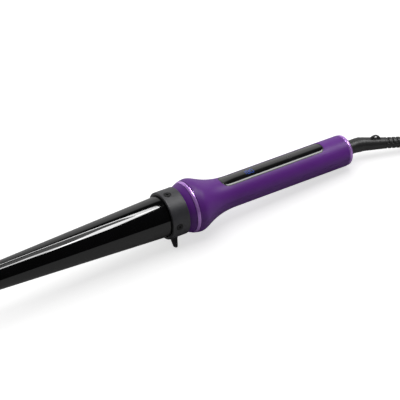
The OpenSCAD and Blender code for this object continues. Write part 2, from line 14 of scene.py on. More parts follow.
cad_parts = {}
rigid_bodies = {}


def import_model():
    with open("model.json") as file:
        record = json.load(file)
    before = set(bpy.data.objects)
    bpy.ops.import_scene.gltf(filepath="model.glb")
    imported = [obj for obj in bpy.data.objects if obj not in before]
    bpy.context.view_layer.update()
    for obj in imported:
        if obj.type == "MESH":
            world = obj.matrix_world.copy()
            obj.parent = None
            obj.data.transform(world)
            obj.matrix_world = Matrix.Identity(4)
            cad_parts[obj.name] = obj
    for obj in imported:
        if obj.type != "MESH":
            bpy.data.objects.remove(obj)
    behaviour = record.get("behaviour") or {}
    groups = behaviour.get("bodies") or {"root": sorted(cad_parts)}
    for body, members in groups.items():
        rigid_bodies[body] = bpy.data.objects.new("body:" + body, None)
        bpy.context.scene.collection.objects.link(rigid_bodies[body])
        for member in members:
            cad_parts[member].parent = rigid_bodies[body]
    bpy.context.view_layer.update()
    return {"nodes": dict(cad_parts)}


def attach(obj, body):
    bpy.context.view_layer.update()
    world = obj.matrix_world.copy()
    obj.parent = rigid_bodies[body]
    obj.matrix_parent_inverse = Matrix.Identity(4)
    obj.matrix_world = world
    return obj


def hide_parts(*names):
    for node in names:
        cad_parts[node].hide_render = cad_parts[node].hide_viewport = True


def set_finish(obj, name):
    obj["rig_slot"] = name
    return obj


for leftover in list(bpy.data.objects):
    bpy.data.objects.remove(leftover)

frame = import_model()
cad_nodes = frame["nodes"]

# %% [markdown]
# The frame is in metres and the wand was designed in millimetres, along its own axis. The wand rests
# on its feet and on the rear edge of its handle, so its axis leans a little. One matrix takes a point
# from the wand's axis to the world, and a second one follows the bend of the cord outlet.

# %% The wand's own axes
MM = 0.001
COLLAR_FRONT = Vector((-19.786, 0, 23.531))
REST_TILT = math.radians(3.6456)
BEND_S = 185.4
BOOT_ROLL = math.radians(5)
BOOT_BEND = math.radians(22)

WAND = Matrix.Scale(MM, 4) @ Matrix.Translation(COLLAR_FRONT) @ Matrix.Rotation(REST_TILT, 4, "Y")
BOOT = (
    WAND
    @ Matrix.Translation((BEND_S, 0, 0))
    @ Matrix.Rotation(BOOT_ROLL, 4, "X")
    @ Matrix.Rotation(-BOOT_BEND, 4, "Z")
)
GROUND = Matrix.Scale(MM, 4)
print("collar front at", [round(x, 4) for x in WAND.translation])

# %% [markdown]
# The camera comes before any finish, because the cord is laid out by what it sees. A long lens about
# 0.9 m away, looking down at some 39 degrees, keeps the taper of the barrel honest: a short lens
# close by would exaggerate it. The three directions below are the camera's right, down and forward.

# %% Camera
CAMERA_RIGHT = Vector((0.84836, -0.52827, -0.03485))
CAMERA_DOWN = Vector((-0.35874, -0.52521, -0.77166))
CAMERA_FORWARD = Vector((0.38934, 0.66715, -0.63508))
CAMERA_AT = (-0.34121, -0.60935, 0.6035)

camera_data = bpy.data.cameras.new("studio_camera")
camera_data.lens = 108.6
camera_data.sensor_width = 36
camera = bpy.data.objects.new("studio_camera", camera_data)
turn = Matrix((CAMERA_RIGHT, -CAMERA_DOWN, -CAMERA_FORWARD)).transposed().to_4x4()
camera.matrix_world = Matrix.Translation(CAMERA_AT) @ turn
bpy.context.scene.collection.objects.link(camera)
bpy.context.scene.camera = camera
print("lens", camera_data.lens, "mm")

# %% [markdown]
# Every piece needs the same few steps: link it, take its finish slot from the record, ride on a body
# and stand in for its CAD nodes. A small helper does them in one line, so that none is forgotten.

# %% Adding a piece
pieces = {}


def add_piece(name, mesh, body, slot, *replaces):
    """Links a piece, lets it ride on a body and stand for CAD nodes."""
    mesh.name = name
    piece = bpy.data.objects.new(name, mesh)
    bpy.context.scene.collection.objects.link(piece)
    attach(piece, body)
    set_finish(piece, slot)
    if replaces:
        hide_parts(*replaces)
    pieces[name] = piece
    return piece


# %% [markdown]
# Nearly every shape here is a stack of rings: points round a section, joined to the next section.
# A few helpers cover that: one joins the rings, one shades the finished mesh, and one sweeps a circle
# along a line of points.

# %% Rings into meshes
def join_rings(build, rings, band=False):
    """Faces between rings of equally many points, and over both ends. A band's ring runs out along
    one side and back along the other, so its ends are closed by a strip of faces."""
    for ring, after in zip(rings, rings[1:]):
        for k in range(len(ring)):
            n = (k + 1) % len(ring)
            build.faces.new((ring[k], ring[n], after[n], after[k]))
    for ring in (rings[0], rings[-1]):
        if band:
            for k in range(len(ring) // 2 - 1):
                build.faces.new((ring[k], ring[k + 1], ring[-2 - k], ring[-1 - k]))
        else:
            build.faces.new(ring)


def finish_mesh(build, sharp=38):
    """Turns a bmesh into a mesh with outward faces and smooth shading up to a sharp angle."""
    bmesh.ops.recalc_face_normals(build, faces=build.faces)
    mesh = bpy.data.meshes.new("made")
    build.to_mesh(mesh)
    build.free()
    mesh.shade_smooth()
    mesh.set_sharp_from_angle(angle=math.radians(sharp))
    return mesh


def ring_mesh(rings, sharp=38, band=False):
    """Mesh from rings of points that are already in the world."""
    build = bmesh.new()
    join_rings(build, [[build.verts.new(point) for point in ring] for ring in rings], band)
    return finish_mesh(build, sharp)


def tube_mesh(middle, radii, place, steps=64):
    """Round tube with closed ends along a line of points."""
    rings = []
    for i, (centre, radius) in enumerate(zip(middle, radii)):
        along = (middle[min(i + 1, len(middle) - 1)] - middle[max(i - 1, 0)]).normalized()
        side = Vector((0, 0, 1)).cross(along).normalized()
        up = along.cross(side)
        rings.append([
            place @ (centre + radius * (math.cos(a) * side + math.sin(a) * up))
            for a in (2 * math.pi * k / steps for k in range(steps))
        ])
    return ring_mesh(rings)


def smooth_step(t):
    """Eases from 0 to 1 as t goes from 0 to 1."""
    t = min(max(t, 0.0), 1.0)
    return t * t * (3 - 2 * t)


print("smooth step at 0.25, 0.5, 0.75:", [smooth_step(t) for t in (0.25, 0.5, 0.75)])

# %% [markdown]
# The mains lead leaves the strain relief, runs a few centimetres over the table and is wound into a
# hank: six runs along the near side and five along the far side, in two columns of three layers. Each
# near run moves on by one place under the tie, as the strands of a bundle roll round each other, so
# both ends come out at the bottom. The far side has five runs, so its outer column is two high.

# %% Runs of the hank, as points in millimetres
CORD_D = 6.4
HANK_X = 340
HALF_RUN = 52
WAIST_Y = {"inner": 0.5 * CORD_D, "outer": 1.5 * CORD_D}
FOLD_R = {"inner": 3 * CORD_D, "outer": 4 * CORD_D}
LAYER_Z = [CORD_D * (0.5 + layer) for layer in range(3)]
NEAR_PLACES = [("outer", 0), ("inner", 0), ("inner", 1), ("inner", 2), ("outer", 2), ("outer", 1)]
FAR_PLACES = [("inner", 0), ("inner", 1), ("inner", 2), ("outer", 1), ("outer", 0)]
TIE_LIFT, TIE_SHARE, LIFT_FADE = 1.0, 0.2, 0.5
CROSS_START, CROSS_LEN = -0.6, 1.2
RUN_STEPS, FOLD_STEPS = 34, 24


def run_point(u, place):
    """Point at share u (-1 to 1) of a straight run, on the far side."""
    column, layer = place
    flare = (1 - math.cos(math.pi * abs(u))) / 2
    y = WAIST_Y[column] + (FOLD_R[column] - WAIST_Y[column]) * flare
    lift = TIE_LIFT * (1 - smooth_step((abs(u) - TIE_SHARE) / LIFT_FADE))
    return Vector((HANK_X + u * HALF_RUN, y, LAYER_Z[layer] + lift))


def near_run(start, end):
    """Run on the near side, which moves from one place to the next under the tie."""
    for k in range(RUN_STEPS + 1):
        u = -1 + 2 * k / RUN_STEPS
        point = run_point(u, start).lerp(run_point(u, end), smooth_step((u - CROSS_START) / CROSS_LEN))
        yield Vector((point.x, -point.y, point.z))


def far_run(place):
    """Run back on the far side, in one place."""
    for k in range(RUN_STEPS + 1):
        yield run_point(1 - 2 * k / RUN_STEPS, place)


def fold(end, start, finish):
    """Half turn at one end of the hank: end is 1 beyond the tail, -1 beside the wand."""
    radius = FOLD_R[start[0]]
    for k in range(1, FOLD_STEPS):
        angle = math.pi * k / FOLD_STEPS
        rise = (LAYER_Z[finish[1]] - LAYER_Z[start[1]]) * smooth_step(k / FOLD_STEPS)
        x = HANK_X + end * (HALF_RUN + radius * math.sin(angle))
        yield Vector((x, -end * radius * math.cos(angle), LAYER_Z[start[1]] + rise))


print("hank of", len(NEAR_PLACES) + len(FAR_PLACES), "runs,", 2 * HALF_RUN, "mm each")

# %% The whole route
LEAD_ROUTE = [
    (216, -20.5, 6.7), (221, -22.5, 6.2), (229, -25.2, 5.4), (237, -27, 4.5), (245, -27.8, 3.8),
    (253, -27.6, 3.3), (261, -27, 3.2), (269, -26.2, 3.2), (276, -25.6, 3.2),
]
TAIL_ROUTE = [
    (402, -24.4, 3.2), (407, -22.6, 3.5), (412, -19.8, 4.4), (417.5, -16.6, 5.7), (422.5, -14.5, 6.4),
    (427, -14, 6.5), (432, -14, 6.5),
]


def cord_points():
    """The lead, the runs and folds of the hank in turn, and the tail."""
    route = [Vector(p) for p in LEAD_ROUTE]
    for k, place in enumerate(NEAR_PLACES):
        leaves = NEAR_PLACES[(k + 1) % len(NEAR_PLACES)]
        route += near_run(place, leaves)
        if k < len(FAR_PLACES):
            route += fold(1, leaves, FAR_PLACES[k])
            route += far_run(FAR_PLACES[k])
            route += fold(-1, FAR_PLACES[k], leaves)
    return route + [Vector(p) for p in TAIL_ROUTE]


def even_steps(points, step):
    """The same line with points a fixed distance apart."""
    kept, left = [points[0]], step
    for a, b in zip(points, points[1:]):
        length, done = (b - a).length, 0.0
        while length - done >= left:
            done += left
            kept.append(a.lerp(b, done / length))
            left = step
        left -= length - done
    return kept + [points[-1]]


def relaxed(points, rounds):
    """Rounds off corners by moving each point towards its neighbours' middle."""
    for _ in range(rounds):
        inner = [(a + 2 * b + c) / 4 for a, b, c in zip(points, points[1:], points[2:])]
        points = [points[0], *inner, points[-1]]
    return points


cord_line = even_steps(relaxed(even_steps(cord_points(), 1.5), 6), 3.0)

# %% [markdown]
# A curve with a round bevel would show the lead too. A mesh tube along the same points is chosen,
# because its size can be measured on the mesh itself, and the frame needs the true box of each piece.

# %% The lead itself
mains_lead = add_piece(
    "mains_lead", tube_mesh(cord_line, [CORD_D / 2] * len(cord_line), GROUND, steps=20),
    "swivel", "cord_rubber", "cord_lead", "cord_hank", "cord_tail",
)
print("lead has", len(mains_lead.data.vertices), "points")

# %% [markdown]
# Most of the wand is turned on one axis, so its pieces are lathed: a section is drawn as stations
# along the axis and radii, then carried round. A Spin or Screw modifier would do the same, but a
# direct mesh keeps every ring where it is wanted and closes cleanly on the axis.

# %% Lathe
ROUND_STEPS = 144


def lathe_mesh(section, place=WAND, steps=ROUND_STEPS, radius_at=None, sharp=38):
    """Carries a closed section of (station, radius) points round the axis."""
    build = bmesh.new()
    rings = []
    for station, radius in section:
        if radius == 0:
            rings.append([build.verts.new(place @ Vector((station, 0, 0)))])
            continue
        ring = []
        for k in range(steps):
            angle = 2 * math.pi * k / steps
            r = radius_at(station, angle, radius) if radius_at else radius
            point = Vector((station, r * math.sin(angle), r * math.cos(angle)))
            ring.append(build.verts.new(place @ point))
        rings.append(ring)
    for ring, after in zip(rings, rings[1:] + rings[:1]):
        if len(ring) == len(after) == 1:
            continue
        for k in range(steps):
            n = (k + 1) % steps
            corners = [side[j % len(side)] for side, j in ((ring, k), (ring, n), (after, n), (after, k))]
            build.faces.new(list(dict.fromkeys(corners)))
    return finish_mesh(build, sharp)


def rod(start, end, radius, place, steps):
    """Plain solid cylinder between two stations."""
    return lathe_mesh([(start, 0), (start, radius), (end, radius), (end, 0)], place, steps)


def rounded(corners, radius, steps=4):
    """Closed outline whose corners are rounded by up to the given radius."""
    outline = []
    for i, corner in enumerate(corners):
        here = Vector(corner)
        if here.y == 0:
            outline.append(tuple(here))
            continue
        before, after = Vector(corners[i - 1]) - here, Vector(corners[(i + 1) % len(corners)]) - here
        cut = min(radius, before.length * 0.45, after.length * 0.45)
        a, b = here + before.normalized() * cut, here + after.normalized() * cut
        for k in range(steps + 1):
            t = k / steps
            outline.append(tuple(a * (1 - t) ** 2 + here * 2 * t * (1 - t) + b * t * t))
    return outline


print("lathe goes round in", ROUND_STEPS, "steps")

# %% [markdown]
# A few pieces are joined from solids or carved. Boolean, Remesh and Smooth are modifiers, so one
# helper bakes them into the mesh, which then holds the shape that is seen.

# %% Carving and melting
def apply_modifiers(piece):
    """Leaves the piece with the mesh that its modifiers make."""
    graph = bpy.context.evaluated_depsgraph_get()
    made = bpy.data.meshes.new_from_object(piece.evaluated_get(graph))
    piece.modifiers.clear()
    piece.data = made


def moulded(piece, voxel, rounds):
    """Melts joined solids into one moulding with soft inner corners."""
    remesh = piece.modifiers.new("one_skin", "REMESH")
    remesh.mode = "VOXEL"
    remesh.voxel_size = voxel * MM
    soften = piece.modifiers.new("soft_edges", "SMOOTH")
    soften.factor = 0.5
    soften.iterations = rounds
    apply_modifiers(piece)
    piece.data.shade_smooth()


def carve(piece, mesh, operation="DIFFERENCE"):
    """Applies one Boolean with a helper solid and removes the helper."""
    tool = bpy.data.objects.new("helper", mesh)
    bpy.context.scene.collection.objects.link(tool)
    cut = piece.modifiers.new("carve", "BOOLEAN")
    cut.operation = operation
    cut.solver = "EXACT"
    cut.object = tool
    apply_modifiers(piece)
    bpy.data.objects.remove(tool)


def prism(outline, thickness, place):
    """Solid between two copies of an outline in the XZ plane, either side of y = 0."""
    half = thickness / 2
    return ring_mesh([[place @ Vector((x, y, z)) for x, z in outline] for y in (-half, half)])


print("pieces so far:", len(pieces))

# %% [markdown]
# The barrel is a drawn tube with a ceramic glaze. Its taper is a straight line from a radius of 16 mm
# at the collar to one of 9 mm at the tip. The front rim gets a tiny round, because no real edge is
# perfectly sharp and a rounded rim is what catches the light.

# %% Barrel
BARREL_LEN, BASE_R, TIP_R, BARREL_WALL, BARREL_SEAT = 150, 16, 9, 1.2, 12
TAPER_STEPS = 24


def barrel_section():
    """Inner rim, outer rim, taper, seat in the collar, and back along the bore."""
    taper = [(-BARREL_LEN * (1 - k / TAPER_STEPS), TIP_R + (BASE_R - TIP_R) * k / TAPER_STEPS)
             for k in range(1, TAPER_STEPS + 1)]
    rim = [(-BARREL_LEN, TIP_R - BARREL_WALL), (-BARREL_LEN, TIP_R - 0.35), (-BARREL_LEN + 0.1, TIP_R - 0.08)]
    bore = BASE_R - BARREL_WALL
    return rim + taper + [(BARREL_SEAT, BASE_R), (BARREL_SEAT, bore), (0, bore)]


barrel = add_piece("glazed_barrel", lathe_mesh(barrel_section()), "wand", "black_barrel_coat", "barrel")
print("barrel", BARREL_LEN, "mm,", len(barrel.data.vertices), "points")

# %% [markdown]
# The cool tip is where a finger steadies the wand. It is a turned cap with shallow grip grooves and a
# soft nose. The grooves are real geometry, since they break the outline.

# %% Cool tip
TIP_LEN, TIP_RING_W, NOSE_R = 16, 1.2, 5
TIP_RING_INNER, TIP_RING_OUTER = 7.8, 8.75
GROOVES, GROOVE_DEPTH, GROOVES_START, GROOVED_LEN, GROOVE_PHASE = 4, 0.3, 6, 8.8, 0.6
PLUG_DEPTH = 8
TIP_START = -BARREL_LEN - TIP_RING_W
TIP_END = TIP_START - TIP_LEN


def tip_section():
    """Round nose, grooved grip, and the plug that goes into the barrel."""
    nose = [(TIP_END, 0)]
    for k in range(13):
        a = math.radians(90 - 7.5 * k)
        nose.append((TIP_END + NOSE_R * (1 - math.sin(a)), TIP_R - NOSE_R + NOSE_R * math.cos(a)))
    grooved = []
    for k in range(40):
        wave = max(0.0, math.sin(2 * math.pi * GROOVES * k / 39 - GROOVE_PHASE))
        grooved.append((TIP_END + GROOVES_START + GROOVED_LEN * k / 39, TIP_R - GROOVE_DEPTH * wave ** 2))
    plug_r = TIP_R - BARREL_WALL - 0.1
    rim = [(TIP_START - 0.2, TIP_R), (TIP_START, TIP_R - 0.2)]
    plug_end = TIP_START + PLUG_DEPTH
    return nose + grooved + rim + [(TIP_START, plug_r), (plug_end, plug_r), (plug_end, 0)]


add_piece("cool_tip_cap", lathe_mesh(tip_section()), "wand", "cool_tip_plastic", "cool_tip")
tip_ring_section = rounded([(TIP_START, TIP_RING_INNER), (TIP_START, TIP_RING_OUTER),
                            (-BARREL_LEN, TIP_RING_OUTER), (-BARREL_LEN, TIP_RING_INNER)], 0.15)
add_piece("tip_insulator", lathe_mesh(tip_ring_section), "wand", "insulator", "tip_ring")
print("tip reaches", TIP_END, "mm")

# %% [markdown]
# The collar, its two rest feet and its screw recesses come from one mould, so they are one skin with
# soft inner corners. Separate solids are joined, carved with Booleans, then melted together by a
# voxel remesh. Bevels on Booleans would leave pinched corners where the feet meet the ring.

# %% Collar with its feet
COLLAR_LEN, COLLAR_BORE, COLLAR_R = 14.7, 16.1, 18.5
FOOT_SPLAY, FOOT_REACH, FOOT_S, FOOT_T, FOOT_TIP_R = 28, 26.3, 5.6, 3.0, 1.3
SCREW_S, SCREW_SINK, RECESS_R = 5.2, 1.2, 2.75


def foot_outline():
    """Outline of one foot, seen from the side: wide at the collar, round at its tip."""
    tip_z = -FOOT_REACH + 1.0
    root_z = -COLLAR_BORE - 1.1
    arc = [math.radians(a) for a in range(190, 351, 20)]
    tip = [(FOOT_S + (FOOT_TIP_R + 0.05) * math.cos(a), tip_z + FOOT_TIP_R * math.sin(a)) for a in arc]
    return [(FOOT_S - 3.3, root_z), (FOOT_S - 2.2, root_z - 2.6), *tip,
            (FOOT_S + 2.6, root_z - 2.6), (FOOT_S + 4.1, root_z)]


ring_section = rounded(
    [(0, COLLAR_BORE), (0, COLLAR_R), (COLLAR_LEN, COLLAR_R), (COLLAR_LEN, COLLAR_BORE)], 0.55)
collar = add_piece("collar_and_feet", lathe_mesh(ring_section), "wand", "collar_plastic", "collar")
for splay in (-FOOT_SPLAY, FOOT_SPLAY):
    lean = WAND @ Matrix.Rotation(math.radians(splay), 4, "X")
    carve(collar, prism(foot_outline(), FOOT_T, lean), "UNION")
for quarter in range(4):
    out = WAND @ Matrix.Rotation(math.radians(90 * quarter), 4, "X") @ Matrix.Translation((SCREW_S, 0, 0))
    upright = out @ Matrix.Rotation(math.radians(-90), 4, "Y")
    carve(collar, rod(COLLAR_R - SCREW_SINK, COLLAR_R + 2, RECESS_R, upright, steps=48))
moulded(collar, voxel=0.25, rounds=3)
for corner in collar.data.vertices:
    corner.co.z = max(corner.co.z, 0.0)
print("collar skin has", len(collar.data.polygons), "faces")

# %% [markdown]
# The handle is two shells that meet on a seam at mid height. Each is lofted as a closed band: an
# outer arc, an inner arc and two seam edges, from the flared front to the rear. The outer arc turns
# in by a tenth of a millimetre at the seam, which draws the fine line that moulded halves show.

# %% Handle outline
HANDLE_START, BULGE_S, FLARE_END, HANDLE_END = 15.0, 27.0, 62.0, 167.6
FRONT_R, BULGE_R, GRIP_R, GRIP_END_R = 16.6, 21.0, 12.6, 12.9


def bezier(corners, t):
    """Point at share t of a curve with four control points."""
    weights = ((1 - t) ** 3, 3 * t * (1 - t) ** 2, 3 * t * t * (1 - t), t ** 3)
    return tuple(sum(w * c[i] for w, c in zip(weights, corners)) for i in (0, 1))


def handle_line():
    """Stations and radii along the handle's outside."""
    rise = [(HANDLE_START, FRONT_R), (18.0, 18.8), (23.0, BULGE_R), (BULGE_S, BULGE_R)]
    flare = [(BULGE_S, BULGE_R), (33.0, BULGE_R), (40.0, GRIP_R), (FLARE_END, GRIP_R)]
    line = [bezier(rise, k / 20) for k in range(21)] + [bezier(flare, k / 48) for k in range(1, 49)]
    grip = [(s, GRIP_R + (GRIP_END_R - GRIP_R) * (s - FLARE_END) / (HANDLE_END - FLARE_END))
            for s in (65 + 3 * k for k in range(35))]
    return line + grip + [(HANDLE_END - 0.25, GRIP_END_R), (HANDLE_END, GRIP_END_R - 0.2)]


HANDLE_LINE = handle_line()


def handle_radius(s):
    """Outside radius of the handle at station s."""
    for (s0, r0), (s1, r1) in zip(HANDLE_LINE, HANDLE_LINE[1:]):
        if s <= s1:
            return r0 + (r1 - r0) * (s - s0) / (s1 - s0)
    return HANDLE_LINE[-1][1]


print("handle outline:", len(HANDLE_LINE), "stations; grip radius at 100 mm", round(handle_radius(100), 2))

# %% Handle shells
SHELL_WALL, SEAM_ROUND, SEAM_GAP, ARC_STEPS = 2.4, 0.12, 0.03, 96
TRIM_S, TRIM_W, TRIM_GROOVE = 21.6, 2.4, 1.9
FRONT_BORE_R, FRONT_LIP_END = 14.9, 20.5


def outer_arc(radius):
    """Angles and radii of one shell's outer arc, with its two rounded seam edges."""
    turn_in = SEAM_ROUND / radius
    edge = [(0.0, radius - SEAM_ROUND), (turn_in * 0.3, radius - SEAM_ROUND * 0.3), (turn_in, radius)]
    span = math.pi - 2 * turn_in
    middle = [(turn_in + span * k / ARC_STEPS, radius) for k in range(1, ARC_STEPS)]
    return edge + middle + [(math.pi - a, r) for a, r in reversed(edge)]


def shell_mesh(side):
    """One half of the handle: side is 1 for the upper shell and -1 for the lower."""
    rings = []
    for s, radius in HANDLE_LINE:
        groove = TRIM_GROOVE if abs(s - TRIM_S) < TRIM_W / 2 else 0.0
        bore = max(radius - SHELL_WALL, FRONT_BORE_R if s < FRONT_LIP_END else 0)
        outside = [(a, r - groove) for a, r in outer_arc(radius)]
        inside = [(a, bore) for a, _ in reversed(outside)]
        rings.append([WAND @ Vector((s, r * math.cos(a), side * (r * math.sin(a) + SEAM_GAP)))
                      for a, r in outside + inside])
    return ring_mesh(rings, 30, band=True)


handle_bottom = add_piece("handle_lower_shell", shell_mesh(-1), "wand", "purple_soft_touch", "handle_bottom")
handle_top = add_piece("handle_upper_shell", shell_mesh(1), "wand", "purple_soft_touch", "handle_top")
print("shells:", len(handle_top.data.polygons), "and", len(handle_bottom.data.polygons), "faces")

# %% [markdown]
# The touch panel is one smooth black sheet that follows the round of the handle. The pocket that is
# carved for it and the sheet itself have the same outline, so one function builds both: a grid that
# narrows at its round ends, with a top and a bottom at any depth under the handle's surface.

# %% Panel pocket and touch panel
PANEL_START, PANEL_LEN, PANEL_W, PANEL_CORNER = 51.5, 95.5, 13.0, 5.0
POCKET_DEPTH, SHEET_MARGIN, SHEET_SINK, SHEET_DEPTH, SHEET_EDGE = 1.5, 0.75, 0.02, 1.3, 0.12


def panel_half_width(x, length, width, corner):
    """Half width of a bar with round corners at distance x from its end."""
    into = min(x, length - x)
    if into >= corner:
        return width / 2
    return width / 2 - corner + math.sqrt(max(corner ** 2 - (corner - into) ** 2, 0.0))


def on_sheet(point, over):
    """Point in the world from (s, y), at a height over the handle's surface."""
    reach = handle_radius(point.x) + over
    return WAND @ Vector((point.x, point.y, math.sqrt(reach ** 2 - point.y ** 2)))


def inlay_mesh(margin, top, bottom, edge=0.0):
    """Curved sheet in the panel's outline. Top and bottom are heights over the handle's surface."""
    length, width, corner = PANEL_LEN - 2 * margin, PANEL_W - 2 * margin, PANEL_CORNER - margin
    ends = [corner * (1 - math.cos(math.radians(90 * k / 12))) for k in range(13)]
    middle = [corner + (length - 2 * corner) * k / 30 for k in range(1, 30)]
    stations = ends + middle + [length - x for x in reversed(ends)]
    columns = [-1 + 2 * k / 24 for k in range(25)]
    rings = []
    for i, x in enumerate(stations):
        half = panel_half_width(x, length, width, corner)
        s = PANEL_START + margin + x
        ring = []
        for over, across in ((top, columns), (bottom, columns[::-1])):
            for u in across:
                at_rim = over == top and (abs(u) == 1 or i in (0, len(stations) - 1))
                ring.append(on_sheet(Vector((s, half * u)), over - (edge if at_rim else 0.0)))
        rings.append(ring)
    return ring_mesh(rings, 40, band=True)


carve(handle_top, inlay_mesh(0.0, 4.0, -POCKET_DEPTH))
add_piece("touch_sheet", inlay_mesh(SHEET_MARGIN, -SHEET_SINK, -SHEET_DEPTH, SHEET_EDGE), "wand",
          "panel_gloss", "touch_panel")
print("upper shell with its pocket:", len(handle_top.data.polygons), "faces")

# %% [markdown]
# The Boolean leaves a few slivers where the pocket's rim runs almost along an edge of the shell.
# Merging points that nearly coincide and closing what opens up makes the shell watertight again.

# %% Clean the carved shell
SLIVER = 0.003 * MM
clean = bmesh.new()
clean.from_mesh(handle_top.data)
bmesh.ops.remove_doubles(clean, verts=clean.verts, dist=SLIVER)
bmesh.ops.dissolve_degenerate(clean, edges=clean.edges, dist=SLIVER)
bmesh.ops.delete(clean, geom=[v for v in clean.verts if len(v.link_faces) < 2], context="VERTS")
bmesh.ops.holes_fill(clean, edges=[e for e in clean.edges if e.is_boundary], sides=8)
print("open edges left:", sum(e.is_boundary for e in clean.edges))
handle_top.data = finish_mesh(clean, 30)
handle_top.data.name = handle_top.name

# %% [markdown]
# The display shows three plain digits through the sheet, and behind them come three touch marks. They
# are drawn as thin prints that follow the round of the sheet: real shapes, a few hundredths of a
# millimetre thick. An image texture would be lighter, but nothing is painted from pictures here.

# %% Digits and touch marks
DIGIT_SEGMENTS = {"1": "bc", "8": "abcdefg", "0": "abcdef"}
SEGMENT_BARS = {
    "a": (0.0, 1.0, 1.0, 1.0), "b": (1.0, 1.0, 1.0, 0.5), "c": (1.0, 0.5, 1.0, 0.0),
    "d": (0.0, 0.0, 1.0, 0.0), "e": (0.0, 0.5, 0.0, 0.0), "f": (0.0, 1.0, 0.0, 0.5),
    "g": (0.0, 0.5, 1.0, 0.5),
}
DIGITS_S, DIGIT_W, DIGIT_H, DIGIT_GAP, BAR_INSET = 72.9, 2.0, 4.4, 1.25, 0.2
PLUS_S, MINUS_S, POWER_S = 89.5, 102.5, 116


def print_mesh(strokes, width, height):
    """Thin bars laid on the sheet. A stroke runs from (s, y) to (s, y) in millimetres."""
    build = bmesh.new()
    for a, b in strokes:
        a, b = Vector(a), Vector(b)
        along = (b - a).normalized() * width * 0.5
        across = Vector((-along.y, along.x))
        outline = [a - along * 0.2 + across, a - along, a - along * 0.2 - across,
                   b + along * 0.2 - across, b + along, b + along * 0.2 + across]
        join_rings(build, [[build.verts.new(on_sheet(p, over)) for p in outline] for over in (-0.01, height)])
    return finish_mesh(build)


def digit_strokes(text):
    """Strokes of seven-bar digits, side by side."""
    strokes = []
    for place, digit in enumerate(text):
        left = DIGITS_S + place * (DIGIT_W + DIGIT_GAP)
        for segment in DIGIT_SEGMENTS[digit]:
            x0, y0, x1, y1 = SEGMENT_BARS[segment]
            a = Vector((left + DIGIT_W * x0, DIGIT_H * (y0 - 0.5)))
            b = Vector((left + DIGIT_W * x1, DIGIT_H * (y1 - 0.5)))
            inset = (b - a).normalized() * BAR_INSET
            strokes.append((a + inset, b - inset))
    return strokes


def ring_strokes(s, radius, first, last, steps=16):
    """Strokes of an open ring round station s, between two angles."""
    angles = [math.radians(first + (last - first) * k / steps) for k in range(steps + 1)]
    points = [(s + radius * math.cos(a), radius * math.sin(a)) for a in angles]
    return list(zip(points, points[1:]))


digits = add_piece("display_digits", print_mesh(digit_strokes("180"), 0.22, 0.04), "wand", "display_plastic")
marks = [((PLUS_S - 1.5, 0), (PLUS_S + 1.5, 0)), ((PLUS_S, -1.5), (PLUS_S, 1.5)),
         ((MINUS_S - 1.5, 0), (MINUS_S + 1.5, 0)), *ring_strokes(POWER_S, 1.6, 40, 320),
         ((POWER_S, 0), (POWER_S + 1.9, 0))]
touch_marks = add_piece("touch_marks", print_mesh(marks, 0.28, 0.03), "wand", "panel_bezel_plastic")
print("digits and marks:", len(digits.data.polygons), len(touch_marks.data.polygons), "faces")

# %% [markdown]
# Two lilac rings trim the handle: one set in the flare, one closing the rear. Both are polished, so
# their sections matter more than their colour. A crowned section gathers the light in one bright
# line, where a flat one would flash all at once.

# %% Trim ring and rear ring
TRIM_CROWN, TRIM_DEPTH = 0.14, 2.1
trim_half = TRIM_W / 2 - 0.05
trim_section = []
for k in range(11):
    share = k / 5 - 1
    s = TRIM_S + trim_half * share
    trim_section.append((s, handle_radius(s) + TRIM_CROWN * math.cos(math.pi / 2 * share)))
trim_section += [(TRIM_S + trim_half, BULGE_R - TRIM_DEPTH), (TRIM_S - trim_half, BULGE_R - TRIM_DEPTH)]
add_piece("trim_ring_lilac", lathe_mesh(trim_section), "wand", "lilac_metal", "trim_ring")

REAR_SPIGOT_S, REAR_SPIGOT_R, REAR_BORE = 160.9, 10.4, 5.3
REAR_END = HANDLE_END + 3.8
rear_section = rounded([
    (REAR_SPIGOT_S, REAR_BORE), (REAR_SPIGOT_S, REAR_SPIGOT_R), (HANDLE_END + 0.05, REAR_SPIGOT_R),
    (HANDLE_END + 0.05, 12.35), (HANDLE_END + 0.5, 12.4), (HANDLE_END + 0.7, 12.78),
    (HANDLE_END + 2.4, 12.6), (REAR_END - 0.4, 11.8), (REAR_END, 10.7), (REAR_END, REAR_BORE),
], 0.3)
add_piece("rear_ring_lilac", lathe_mesh(rear_section), "wand", "lilac_metal", "rear_ring")
print("rear ring ends at", REAR_END, "mm")

# %% [markdown]
# The outlet boot is soft rubber that leans over behind the handle. It is swept along its bent middle
# line with a little knuckle at the bend, joined to a low hang loop and melted into one skin. The
# sweep keeps the section square to the bend, which two joined cylinders would not.

# %% Cord boot
BOOT_START, BOOT_LEN, BOOT_R, RELIEF_R = 171.7, 21.5, 5.9, 4.7
LOOP_S, LOOP_Z, LOOP_HOLE_R, LOOP_T = 13.5, 6.702, 1.3, 2.0
LOOP_FOOT_Z, LOOP_HALF, LOOP_RISE = 2.6, 5.4, 6.0
BEND_SOFT, KNUCKLE, KNUCKLE_LEN = 5.0, 0.25, 3.2
BORE_R, BORE_DEPTH = 5.05, 5
bend_at = Vector((BEND_S, 0, 0))
boot_along = ((WAND.inverted() @ BOOT).to_3x3() @ Vector((1, 0, 0))).normalized()


def boot_middle(d):
    """Point of the boot's middle line at distance d from the bend, in the wand's axes."""
    if d <= -BEND_SOFT:
        return bend_at + Vector((d, 0, 0))
    if d >= BEND_SOFT:
        return bend_at + boot_along * d
    t = (d + BEND_SOFT) / (2 * BEND_SOFT)
    a, b = bend_at - Vector((BEND_SOFT, 0, 0)), bend_at + boot_along * BEND_SOFT
    return a * (1 - t) ** 2 + bend_at * 2 * t * (1 - t) + b * t * t


